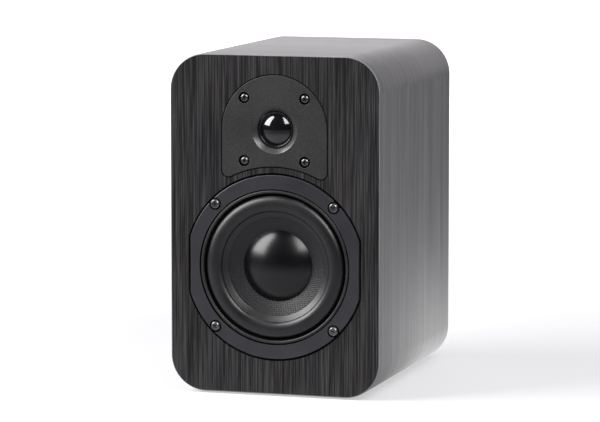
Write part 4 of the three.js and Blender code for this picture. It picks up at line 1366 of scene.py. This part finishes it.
def cup_outline(inset):
    """The tray's outline. Its corners keep at least 4 mm of radius as it goes in."""
    corner = max(CUP_CORNER - 0.18 * inset, 4)
    return rounded_rectangle(CUP_WIDTH - 2 * inset, CUP_HEIGHT - 2 * inset, corner, 0, 0, 8)


tray_levels = [(9.0, CUP_FLOOR - 2), (9.0, CUP_BACK - CUP_LIP), (0.0, CUP_BACK - CUP_LIP)]
tray_levels += [(0.0, CUP_BACK - 0.6), (0.18, CUP_BACK - 0.18), (0.6, CUP_BACK)]
tray_levels += [(10.2, CUP_BACK), (10.75, CUP_BACK - 0.2), (11.0, CUP_BACK - 0.8)]
tray_levels += [(11.5, CUP_FLOOR + 1.0), (11.8, CUP_FLOOR + 0.3), (12.5, CUP_FLOOR)]
hole_levels = [(0.0, CUP_FLOOR - 2), (0.0, CUP_FLOOR)]
tray_parts = [(cup_outline, tray_levels)]
for x in (-POST_X, POST_X):
    tray_parts.append((circle_outline(2.9, x, 0, 24), hole_levels))
terminal_tray = stacked("terminal_tray", tray_parts, CUP, BLACK_PLASTIC)
sink = [(0, 3.0), (3.3, 3.0), (3.3, 0.0), (1.7, -1.7), (1.7, -6.0), (0, -6.0)]
sink_places = four(CUP, *CUP_SCREWS, CUP_BACK)
cut(terminal_tray, [spun("sink_cutter", sink, place, BLACK_PLASTIC, 32) for place in sink_places])
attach(terminal_tray, "root")
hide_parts("terminal_cup")
screws(
    "cup_screws",
    four(CUP, *CUP_SCREWS, CUP_BACK - 1.8),
    {"Head": 3 * MM, "Under": 1.5 * MM, "Crown": 1.6 * MM, "Round": 9.0, "Slot": 0.7 * MM,
     "Shank": 1.4 * MM, "Length": 9 * MM, "Depth": 0.9 * MM, "Facing": -FORWARD, "Seed": 2},
    BLACK_SCREW,
    [f"cup_screw_{k}" for k in range(1, 5)],
)
print("tray faces", len(terminal_tray.data.polygons))

# %% Thread and flutes


def make_thread_tree():
    """Winds a ridge round the input shaft: a screw thread, or the wire of a coil."""
    sizes = {"Radius": 0.003, "Ridge": 0.0003, "Turns": 20.0, "Height": 0.015}
    sizes.update({"Start": 0.0, "X": 0.0, "Z": 0.0, "Facing": -FORWARD})
    tree, given = geometry_tree("wound_ridge", sizes)
    winding = {"Resolution": 24, "Rotations": given["Turns"], "Height": given["Height"]}
    winding.update({"Start Radius": given["Radius"], "End Radius": given["Radius"]})
    path = node(tree, "GeometryNodeCurveSpiral", winding).outputs[0]
    triangle = {"Resolution": 3, "Radius": given["Ridge"]}
    section = node(tree, "GeometryNodeCurvePrimitiveCircle", triangle).outputs[0]
    drawn = {"Curve": path, "Profile Curve": section, "Fill Caps": True}
    ridge = node(tree, "GeometryNodeCurveToMesh", drawn).outputs[0]
    place = combined(tree, given["X"], given["Start"], given["Z"])
    facing = combined(tree, given["Facing"], 0.0, 0.0)
    laying = {"Geometry": ridge, "Translation": place, "Rotation": facing}
    laid = node(tree, "GeometryNodeTransform", laying)
    both = node(tree, "GeometryNodeJoinGeometry")
    tree.links.new(given["Geometry"], both.inputs[0])
    tree.links.new(laid.outputs[0], both.inputs[0])
    close_tree(tree, both.outputs[0], given["Finish"])
    return tree


def make_flute_tree():
    """Cuts a ring of flutes in the input blank."""
    sizes = {"Count": 12, "Ring": 0.0075, "Flute": 0.0014, "Length": 0.02}
    sizes.update({"X": 0.0, "Middle": 0.0, "Z": 0.0})
    tree, given = geometry_tree("ring_of_flutes", sizes)
    circle = {"Vertices": given["Count"], "Radius": given["Ring"]}
    ring = node(tree, "GeometryNodeMeshCircle", circle).outputs[0]
    bar_sizes = {"Vertices": 24, "Radius": given["Flute"], "Depth": given["Length"]}
    bar = node(tree, "GeometryNodeMeshCylinder", bar_sizes).outputs[0]
    bars = node(tree, "GeometryNodeInstanceOnPoints", {"Points": ring, "Instance": bar}).outputs[0]
    bars = node(tree, "GeometryNodeRealizeInstances", {0: bars}).outputs[0]
    place = combined(tree, given["X"], given["Middle"], given["Z"])
    laying = {"Geometry": bars, "Translation": place, "Rotation": (FORWARD, 0, 0)}
    laid = node(tree, "GeometryNodeTransform", laying)
    uncut = {"Mesh 1": given["Geometry"]}
    cut_out = node(tree, "GeometryNodeMeshBoolean", uncut, operation="DIFFERENCE")
    tree.links.new(laid.outputs[0], cut_out.inputs["Mesh 2"])
    close_tree(tree, cut_out.outputs[0], given["Finish"])
    return tree


THREAD_TREE = make_thread_tree()
FLUTE_TREE = make_flute_tree()


def taken(piece):
    """A made piece's mesh, its object removed, for a tree to work on."""
    mesh = piece.data
    bpy.data.objects.remove(piece)
    return mesh


print("trees", THREAD_TREE.name, "and", FLUTE_TREE.name)


# %% Posts, clamp washers and thumb nuts
POST_TAIL = 2.4
POST_COLLAR = 7.2
POST_CORE = 2.85
POST_BORE = 2.05
WASHER = 6.9
NUT = 6.6
NUT_BORE = 3.2
FLUTES = 12
nut_kinds = (("red", RED_PLASTIC, "red_plastic"), ("black", BLACK_PLASTIC, "plastic"))
for colour, nut_finish, nut_slot in nut_kinds:
    centre = middle(f"binding_post_{colour}")
    axis = Vector((centre.x, FACE.y, centre.z))
    tail, tip = depths(f"binding_post_{colour}")
    floor = tip - POST_OUT
    base = floor + 0.1
    collar = floor + 3.0
    post_profile = [(0, tail), (POST_TAIL - 0.3, tail), (POST_TAIL, tail + 0.3), (POST_TAIL, base)]
    post_profile += [(POST_COLLAR - 0.3, base), (POST_COLLAR, base + 0.3)]
    post_profile += [(POST_COLLAR, collar - 0.3), (POST_COLLAR - 0.3, collar)]
    post_profile += [(POST_CORE + 0.2, collar), (POST_CORE, collar + 0.4), (POST_CORE, tip - 0.4)]
    post_profile += [(POST_CORE - 0.25, tip), (POST_BORE + 0.25, tip), (POST_BORE, tip - 0.25)]
    post_profile += [(POST_BORE, tip - 13.0), (0, tip - 13.6)]
    shaft = taken(spun("shaft", post_profile, axis, GOLD, 48))
    thread = {"Radius": 2.82 * MM, "Ridge": 0.2 * MM, "Turns": 20.0, "Height": 15 * MM}
    thread.update({"X": axis.x, "Start": axis.y + (tip - 16.2) * MM, "Z": axis.z})
    post = grown(f"post_{colour}", shaft, THREAD_TREE, thread, GOLD)
    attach(post, "root")
    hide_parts(f"binding_post_{colour}")

    first, last = depths(f"clamp_washer_{colour}")
    washer_profile = [(NUT_BORE, first), (WASHER - 0.2, first), (WASHER, first + 0.2)]
    washer_profile += [(WASHER, last - 0.2), (WASHER - 0.2, last), (NUT_BORE, last)]
    washer = spun(f"clamp_{colour}", washer_profile, axis, GOLD, 64)
    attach(washer, f"washer_{colour}")
    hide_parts(f"clamp_washer_{colour}")

    first, last = depths(f"thumb_nut_{colour}")
    nut_profile = [(NUT_BORE, first), (5.6, first), (5.9, first + 0.3), (5.9, first + 1.2)]
    nut_profile += [(6.3, first + 1.5), (NUT, first + 2.0), (NUT, last - 1.0), (6.4, last - 0.4)]
    nut_profile += [(5.9, last), (4.6, last), (4.3, last - 0.4), (NUT_BORE, last - 0.4)]
    blank = taken(spun("blank", nut_profile, axis, nut_finish, 96))
    flutes = {"Count": FLUTES, "Ring": 7.35 * MM, "Flute": 1.2 * MM, "Length": 9.0 * MM}
    flutes.update({"X": axis.x, "Middle": axis.y + (last - 3.6) * MM, "Z": axis.z})
    nut = grown(f"nut_{colour}", blank, FLUTE_TREE, flutes, nut_finish)
    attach(nut, f"nut_{colour}")
    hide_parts(f"thumb_nut_{colour}")
    print(colour, "post", len(post.data.polygons), "nut", len(nut.data.polygons))

# %% [markdown]
# ## Feet
# Four self-adhesive rubber pads keep the box off the shelf. From the side they read as a
# thin dark gap. Each is turned, with a rounded edge and a shallow ring in its sole.

# %% Feet
for number in range(1, 5):
    low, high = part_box(f"foot_{number}")
    centre = (low + high) / 2
    size = (high.x - low.x) / 2 / MM
    tall = (high.z - low.z) / MM
    sole = [(0, 0.25), (4.6, 0.25), (4.9, 0.0), (7.3, 0.0), (7.75, 0.12)]
    sole += [(size, 0.45), (size, tall), (0, tall)]
    sole_mesh = taken(spun("sole", sole, Vector((0, 0, 0)), RUBBER, 64))
    for vertex in sole_mesh.vertices:
        x, y, z = vertex.co
        vertex.co = Vector((centre.x + x, centre.y - z, low.z + y))
    pad = bpy.data.objects.new(f"foot_pad_{number}", sole_mesh)
    bpy.context.scene.collection.objects.link(pad)
    tidy_mesh(sole_mesh)
    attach(pad, "root")
    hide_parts(f"foot_{number}")
print("four pads", 2 * size, "mm across")

# %% [markdown]
# ## Finishes for the imported nodes that stay
# The boards, the gasket, the tag strip, the crossover's board and the leads keep their imported shapes. The
# leads are fixed wiring, held at both ends. Every one of these nodes gets the finish of its real material,
# set on its object's own slots, so the meshes stay untouched; the baffle's black front is also made near
# black, a painted shade for its rebates. The finishes of the pieces inside the box are made here as well.

# %% Inside finishes


def make_winding():
    """Enamelled copper wire: fine turns across the axis."""
    made, tree, shader, place = start_material("enamelled_wire")
    grain = use_group(tree, GRAIN, {"Vector": place, "Width": 400.0, "Length": 60.0, "Wander": 0.0})
    colour = mixed(tree, grain["Fibre"], (0.42, 0.15, 0.06), (0.62, 0.28, 0.12))
    tree.links.new(colour, shader.inputs["Base Color"])
    tree.links.new(spread(tree, grain["Fibre"], 0.0, 1.0, 0.25, 0.45), shader.inputs["Roughness"])
    bump(tree, shader, grain["Fibre"], 0.4, 0.0002)
    shader.inputs["Metallic"].default_value = 0.85
    return made


def make_spider():
    """Impregnated cotton cloth."""
    made, tree, shader, place = start_material("spider_cloth")
    flat = front_plane(tree, place)
    cloth = use_group(tree, WEAVE, {"Vector": flat, "Threads": 1400.0})
    colour = mixed(tree, cloth["Warp"], (0.5, 0.3, 0.07), (0.6, 0.38, 0.1))
    colour = mixed(tree, cloth["Gap"], colour, (0.16, 0.09, 0.02))
    tree.links.new(colour, shader.inputs["Base Color"])
    bump(tree, shader, cloth["Height"], 0.6, 0.0002)
    shader.inputs["Roughness"].default_value = 0.85
    return made


def make_circuit():
    """Green solder mask with copper tracks under it."""
    made, tree, shader, place = start_material("solder_mask")
    cells = node(tree, "ShaderNodeTexVoronoi", {"Vector": place, "Scale": 90.0}, distance="MANHATTAN")
    track = spread(tree, cells.outputs[0], 0.3, 0.34)
    colour = mixed(tree, track, (0.01, 0.1, 0.045), (0.02, 0.2, 0.08))
    tree.links.new(colour, shader.inputs["Base Color"])
    tree.links.new(spread(tree, track, 0.0, 1.0, 0.3, 0.4), shader.inputs["Roughness"])
    bump(tree, shader, track, 0.3, 0.0001)
    return made


def make_wool():
    """White polyester fibre."""
    made, tree, shader, place = start_material("polyester_fibre")
    fuzz = {"Vector": place, "Scale": 260.0, "Detail": 6.0, "Roughness": 0.7, "Distortion": 1.5}
    fibre = node(tree, "ShaderNodeTexNoise", fuzz).outputs[0]
    colour = mixed(tree, fibre, (0.6, 0.59, 0.55), (0.9, 0.89, 0.86))
    tree.links.new(colour, shader.inputs["Base Color"])
    bump(tree, shader, fibre, 0.8, 0.001)
    shader.inputs["Roughness"].default_value = 0.95
    shader.inputs["Sheen Weight"].default_value = 0.4
    return made


WINDING = make_winding()
SPIDER_CLOTH = make_spider()
CIRCUIT = make_circuit()
WOOL = make_wool()
FILM = moulded("film_capacitor", (0.62, 0.36, 0.02), (0.72, 0.44, 0.04), 0.3, 800.0, 0.08)
SHEATH = moulded("lead_sheath", (0.3, 0.012, 0.01), (0.36, 0.02, 0.016), 0.4, 900.0, 0.1)

staying = {
    "front_baffle": BAFFLE_BOARD,
    "cabinet_sleeve": SLEEVE_BOARD,
    "rear_panel": BACK_BOARD,
    "woofer_gasket": FOAM,
    "woofer_terminals": BLACK_PLASTIC,
    "crossover_board": CIRCUIT,
    "input_lead": SHEATH,
    "woofer_lead": SHEATH,
    "tweeter_lead": SHEATH,
}
for name, material in staying.items():
    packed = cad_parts[name]
    packed.data.materials.clear()
    packed.data.materials.append(material)
print(len(staying), "packed nodes keep their shapes")

# %% [markdown]
# ## Inside the woofer: motor, coil and spider
# The magnet is a ferrite ring between two steel plates, with chamfers where a press and a
# lathe leave them. The coil is wire wound on a thin former, so the winding is the same ridge
# tree that makes the screw threads. The spider is a pressed cloth of round waves that
# stretches between the frame and the coil, so it is blended along its radius.

# %% Motors
CHAMFER = 0.5


def plain_ring(inner, outer, start, end, chamfer=CHAMFER):
    """The profile of a ring with its edges broken."""
    made = [(inner, start + chamfer), (inner + chamfer, start)]
    made += [(outer - chamfer, start), (outer, start + chamfer)]
    made += [(outer, end - chamfer), (outer - chamfer, end)]
    made += [(inner + chamfer, end), (inner, end - chamfer)]
    return made


woofer_plate = plain_ring(14.2, 40.0, 44.1, 50.1)
woofer_ring = plain_ring(22.0, 42.0, 50.2, 65.2, 1.2)
woofer_yoke = [(4.0, 43.6), (4.5, 43.1), (11.3, 43.1), (11.8, 43.6), (11.8, 65.3), (39.5, 65.3)]
woofer_yoke += [(40.0, 65.8), (40.0, 70.0), (38.7, 71.3), (6.0, 71.3), (4.0, 69.3)]
tweeter_top = plain_ring(13.4, 29.5, 5.0, 8.0)
tweeter_ring = plain_ring(16.5, 28.5, 8.1, 18.1, 0.8)
tweeter_yoke = [(4.0, 5.4), (4.4, 5.0), (11.3, 5.0), (11.7, 5.4), (11.7, 18.2), (27.1, 18.2)]
tweeter_yoke += [(27.5, 18.6), (27.5, 21.8), (27.1, 22.2), (4.4, 22.2), (4.0, 21.8)]
can = [(0, 34.6), (18.0, 34.6), (18.4, 34.2), (18.4, 22.3)]
can += [(20.0, 22.3), (20.0, 35.2), (19.2, 36.0), (0, 36.0)]
motor_parts = (
    ("woofer_pole_plate", "woofer_top_plate", WOOFER, STEEL, "steel", woofer_plate),
    ("woofer_ferrite", "woofer_magnet", WOOFER, FERRITE, "ferrite", woofer_ring),
    ("woofer_back_plate", "woofer_yoke", WOOFER, STEEL, "steel", woofer_yoke),
    ("tweeter_pole_plate", "tweeter_top_plate", TWEETER, STEEL, "steel", tweeter_top),
    ("tweeter_ferrite", "tweeter_magnet", TWEETER, FERRITE, "ferrite", tweeter_ring),
    ("tweeter_back_plate", "tweeter_yoke", TWEETER, STEEL, "steel", tweeter_yoke),
    ("tweeter_back_can", "tweeter_rear_chamber", TWEETER, BLACK_PLASTIC, "plastic", can),
)
for name, packed, at, material, slot, profile in motor_parts:
    part = spun(name, profile, at, material, 120)
    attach(part, "root")
    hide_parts(packed)
print(len(motor_parts), "motor parts")

# %% Voice coils and the spider
WOOFER_WIRE = 0.24
TWEETER_WIRE = 0.16
FORMER_INSIDE = 12.4
FORMER_OUTSIDE = 12.98
WOUND_ON = 13.3
former = [(FORMER_INSIDE, 19.6), (FORMER_OUTSIDE, 19.6), (FORMER_OUTSIDE, 41.0)]
former += [(WOUND_ON, 41.1), (WOUND_ON, 52.9), (FORMER_OUTSIDE, 53.0)]
former += [(FORMER_OUTSIDE, 54.0), (FORMER_INSIDE, 54.0)]
coil_base = taken(spun("coil_base", former, WOOFER, WINDING, 96))
turns = {"Radius": WOUND_ON * MM, "Ridge": WOOFER_WIRE * MM, "Turns": 23.0, "Height": 11.4 * MM}
turns.update({"Start": WOOFER.y + 41.3 * MM, "Z": WOOFER.z})
woofer_coil = grown("woofer_coil", coil_base, THREAD_TREE, turns, WINDING)
refinish(woofer_coil, STEEL, lambda at, facing: away_from(at, WOOFER) < FORMER_OUTSIDE + 0.05)
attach(woofer_coil, "woofer_moving")
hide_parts("woofer_voice_coil")

coil_base = taken(spun("coil_base", plain_ring(12.0, 12.6, 5.2, 9.4, 0.1), TWEETER, WINDING, 96))
turns = {"Radius": 12.6 * MM, "Ridge": TWEETER_WIRE * MM, "Turns": 11.0, "Height": 3.6 * MM}
turns.update({"Start": TWEETER.y + 5.5 * MM, "Z": TWEETER.z})
tweeter_coil = grown("tweeter_coil", coil_base, THREAD_TREE, turns, WINDING)
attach(tweeter_coil, "tweeter_moving")
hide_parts("tweeter_voice_coil")

SPIDER_DEPTH = 30.2
SPIDER_INNER = 13.15
SPIDER_WAVED = 39.0
SPIDER_OUTER = 42.2
SPIDER_THICK = 0.6


def spider_depth(radius):
    """Three round waves, then a flat rim that lands on the frame."""
    share = (radius - SPIDER_INNER) / (SPIDER_WAVED - SPIDER_INNER)
    if share < 1:
        return SPIDER_DEPTH - math.cos(6 * math.pi * share)
    return SPIDER_DEPTH - 1 + 1.4 * (radius - SPIDER_WAVED) / (SPIDER_OUTER - SPIDER_WAVED)


SPIDER_STEPS = 84
spider_step = (SPIDER_OUTER - SPIDER_INNER) / SPIDER_STEPS
radii = [SPIDER_INNER + spider_step * k for k in range(SPIDER_STEPS + 1)]
cloth_front = [(radius, spider_depth(radius)) for radius in radii]
cloth_back = [(radius, depth + SPIDER_THICK) for radius, depth in reversed(cloth_front)]
spider = spun("spider", cloth_front + cloth_back, WOOFER, SPIDER_CLOTH, 120)
blend_by_radius(spider, WOOFER, "woofer_moving", 41.8, 14.0)
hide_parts("woofer_spider")
print("coil faces", len(woofer_coil.data.polygons), "spider faces", len(spider.data.polygons))

# %% [markdown]
# ## Inside the box: wadding and crossover
# A loose block of polyester fibre lies under the top board. It has no hard edge anywhere, so
# it is a rounded section drawn through the box, smaller at its two ends, whose every point
# is pushed inwards by slow and quick noise. The crossover's coils are wound by the
# ridge tree round an upright core, and its capacitors are rolled film with sealed ends.

# %% Wadding
pad_low, pad_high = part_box("damping_wadding")
PAD_AT = Vector((0, FACE.y, (pad_low.z + pad_high.z) / 2))
PAD_WIDTH = (pad_high.x - pad_low.x) / MM / 2
PAD_HEIGHT = (pad_high.z - pad_low.z) / MM / 2
PAD_SQUARE = 0.28
PAD_SIDES = 160
PAD_STEPS = 56
PAD_EDGE = 7.5


def pad_outline(inset):
    """A rounded section: a superellipse drawn in by its inset."""
    made = []
    for k in range(PAD_SIDES):
        angle = 2 * math.pi * k / PAD_SIDES
        x = math.copysign(abs(math.cos(angle)) ** PAD_SQUARE, math.cos(angle))
        z = math.copysign(abs(math.sin(angle)) ** PAD_SQUARE, math.sin(angle))
        made.append((x * (PAD_WIDTH - inset), z * (PAD_HEIGHT - inset * 0.9)))
    return made


pad_start, pad_end = depths("damping_wadding")
pad_rounding = [(PAD_EDGE, 0.3), (5.0, 0.8), (2.8, 2.2), (1.3, 4.5)]
pad_levels = [(inset, pad_start + depth) for inset, depth in pad_rounding]
pad_middle = pad_end - pad_start - 2 * PAD_EDGE
for k in range(PAD_STEPS + 1):
    pad_levels.append((0.5, pad_start + PAD_EDGE + pad_middle * k / PAD_STEPS))
pad_levels += [(inset, pad_end - depth) for inset, depth in reversed(pad_rounding)]
wadding = stacked("wadding", [(pad_outline, pad_levels)], PAD_AT, WOOL)
for vertex in wadding.data.vertices:
    slow = noise.noise(vertex.co * 45) + 1
    quick = noise.noise(vertex.co * 260) + 1
    depth = (0.9 * slow + 0.45 * quick) * MM
    side = vertex.co.z - PAD_AT.z
    vertex.co.z -= math.copysign(min(depth, abs(side)), side)
    vertex.co.x -= math.copysign(min(depth, abs(vertex.co.x)), vertex.co.x) * 0.6
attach(wadding, "root")
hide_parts("damping_wadding")
print("wadding faces", len(wadding.data.polygons))

# %% Crossover coils, capacitors and resistor


def laid_out(name, profile, node_name, axis, material):
    """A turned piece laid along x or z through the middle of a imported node."""
    made = spun(name, profile, Vector((0, 0, 0)), material, 72)
    turn = Matrix.Rotation(FORWARD, 4, "X" if axis == "z" else "Z")
    made.data.transform(Matrix.Translation(middle(node_name)) @ turn)
    return made


chokes = (("woofer", 7.0, 16.4, 18.0, 0.5, 16.0), ("tweeter", 5.0, 10.5, 12.0, 0.4, 13.0))
for name, inner, outer, length, wire, count in chokes:
    packed = name + "_inductor"
    centre = middle(packed)
    core_profile = plain_ring(inner, outer, -length / 2, length / 2)
    core = taken(laid_out(name + "_core", core_profile, packed, "z", WINDING))
    wound = {"Radius": (outer + 0.05) * MM, "Ridge": wire * MM, "Turns": count}
    wound.update({"Height": (length - 1.6) * MM, "Facing": 0.0})
    wound.update({"X": centre.x, "Start": centre.y, "Z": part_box(packed)[0].z + 0.8 * MM})
    inductor = grown(name + "_choke", core, THREAD_TREE, wound, WINDING)
    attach(inductor, "root")
    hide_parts(packed)

for name, packed, radius, length, material, slot in (
    ("woofer_film", "woofer_capacitor", 8.0, 34.0, FILM, "film"),
    ("tweeter_film", "tweeter_capacitor", 6.5, 28.0, FILM, "film"),
    ("load_resistor", "crossover_resistor", 3.4, 22.0, BLACK_PLASTIC, "plastic"),
):
    end = length / 2
    barrel = [(0, -end + 0.9), (radius - 1.3, -end + 0.9), (radius - 0.9, -end), (radius - 0.3, -end)]
    barrel += [(radius, -end + 0.4), (radius, end - 0.4), (radius - 0.3, end), (radius - 0.9, end)]
    barrel += [(radius - 1.3, end - 0.9), (0, end - 0.9)]
    part = laid_out(name, barrel, packed, "x", material)
    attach(part, "root")
    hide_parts(packed)
print("crossover pieces made")

# %% [markdown]
# ## Camera, floor and light
# The speaker is shown from a little to its right and a little above, through a long lens, so
# its sides barely converge. Two big softboxes stand in front, above left and above right, and
# a weak one hangs above. The floor runs on behind as a pale sweep, and the room behind the
# camera is dark, which keeps the gloss black between the lights.

# %% Camera
AZIMUTH = math.radians(17.26)
ELEVATION = math.radians(6.84)
DISTANCE = 2.78
LENS = 206.3
AIM_SHIFT = Vector((-0.0151, 0.0129, -0.0015))
centre = (cad_low + cad_high) / 2
aim = centre + AIM_SHIFT


def direction(azimuth, elevation):
    """The way from the speaker to something round it, 0 being in front of it."""
    flat = math.cos(elevation)
    return Vector((math.sin(azimuth) * flat, -math.cos(azimuth) * flat, math.sin(elevation)))


lens = bpy.data.cameras.new("camera")
lens.lens = LENS
lens.sensor_width = 36
camera = bpy.data.objects.new("camera", lens)
bpy.context.scene.collection.objects.link(camera)
camera.location = aim + direction(AZIMUTH, ELEVATION) * DISTANCE
camera.rotation_euler = (aim - camera.location).to_track_quat("-Z", "Y").to_euler()
bpy.context.scene.camera = camera
print("camera at", tuple(camera.location))

# %% Floor, room and softboxes


def softbox(name, azimuth, elevation, distance, width, height, power):
    """A rectangular light that looks at the speaker."""
    light = bpy.data.lights.new(name, "AREA")
    light.shape = "RECTANGLE"
    light.size = width
    light.size_y = height
    light.energy = power
    made = bpy.data.objects.new(name, light)
    bpy.context.scene.collection.objects.link(made)
    made.location = centre + direction(math.radians(azimuth), math.radians(elevation)) * distance
    made.rotation_euler = (centre - made.location).to_track_quat("-Z", "Y").to_euler()
    return made


softbox("softbox_left", -60, 33, 1.8, 1.25, 1.3, 60)
softbox("softbox_right", 47, 40, 2.0, 1.0, 1.1, 34)
softbox("softbox_top", 120, 82, 1.8, 1.4, 1.2, 6)

FLOOR_SIDE = 20
floor_mesh = bpy.data.meshes.new("floor")
floor_corners = [(sx * FLOOR_SIDE, sy * FLOOR_SIDE, 0) for sx, sy in ((-1, -1), (1, -1), (1, 1), (-1, 1))]
floor_mesh.from_pydata(floor_corners, [], [(0, 1, 2, 3)])
floor = bpy.data.objects.new("floor", floor_mesh)
bpy.context.scene.collection.objects.link(floor)
floor_look, tree, shader, place = start_material("pale_floor")
rays = node(tree, "ShaderNodeLightPath").outputs
shader.inputs["Roughness"].default_value = 0.7
shader.inputs["Specular IOR Level"].default_value = 0.1
shader.inputs["Emission Color"].default_value = (1, 1, 1, 1)
away = node(tree, "ShaderNodeVectorMath", {0: place}, operation="LENGTH").outputs["Value"]
far = spread(tree, away, 0.4, 2.5, 0.1, 1.0)
sight = rays["Is Camera Ray"]
mirrored = product(tree, rays["Is Glossy Ray"], spread(tree, away, 0.35, 0.7))
tree.links.new(mixed(tree, mirrored, (0.38, 0.38, 0.4), (0.12, 0.12, 0.13)), shader.inputs["Base Color"])
depth = depth_of(tree, place)
near = product(tree, spread(tree, away, 0.2, 0.9, 1.9, 0.0), spread(tree, depth, -0.15, 0.1))
seen = product(tree, sight, math_node(tree, "ADD", far, 0.4))
unseen = product(tree, math_node(tree, "SUBTRACT", 1.0, sight), near)
tree.links.new(math_node(tree, "ADD", seen, unseen), shader.inputs["Emission Strength"])
floor_mesh.materials.append(floor_look)
floor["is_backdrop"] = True

world = bpy.data.worlds.new("studio")
bpy.context.scene.world = world
world.use_nodes = True
tree = world.node_tree
tree.nodes.clear()
glossy = node(tree, "ShaderNodeLightPath").outputs["Is Glossy Ray"]
way = node(tree, "ShaderNodeTexCoord").outputs["Generated"]
toward = node(tree, "ShaderNodeSeparateXYZ", {0: way}).outputs
behind = spread(tree, toward[1], 0.0, 0.7, 0.03, 1.0)
sided = spread(tree, toward[0], -0.3, 0.3, 1.7, 0.45)
mirror_room = mixed(tree, 1.0, product(tree, behind, sided), (1.0, 0.965, 0.995), "MULTIPLY")
room_colour = mixed(tree, glossy, (0.1, 0.1, 0.105), mirror_room)
room = node(tree, "ShaderNodeBackground", {"Color": room_colour, "Strength": 1.0})
node(tree, "ShaderNodeOutputWorld", {0: room.outputs[0]})
bpy.context.scene.view_settings.view_transform = "Standard"
bpy.context.scene.view_settings.look = "None"
print("three softboxes, the floor and the room")

# %% [markdown]
# ## Size
# The box of the finished model is printed, as the box of the imported model was at the start, so that a
# piece that grew past the real size shows.

# %% Sizes and finish
low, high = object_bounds()
print("visual box", tuple(low), tuple(high))
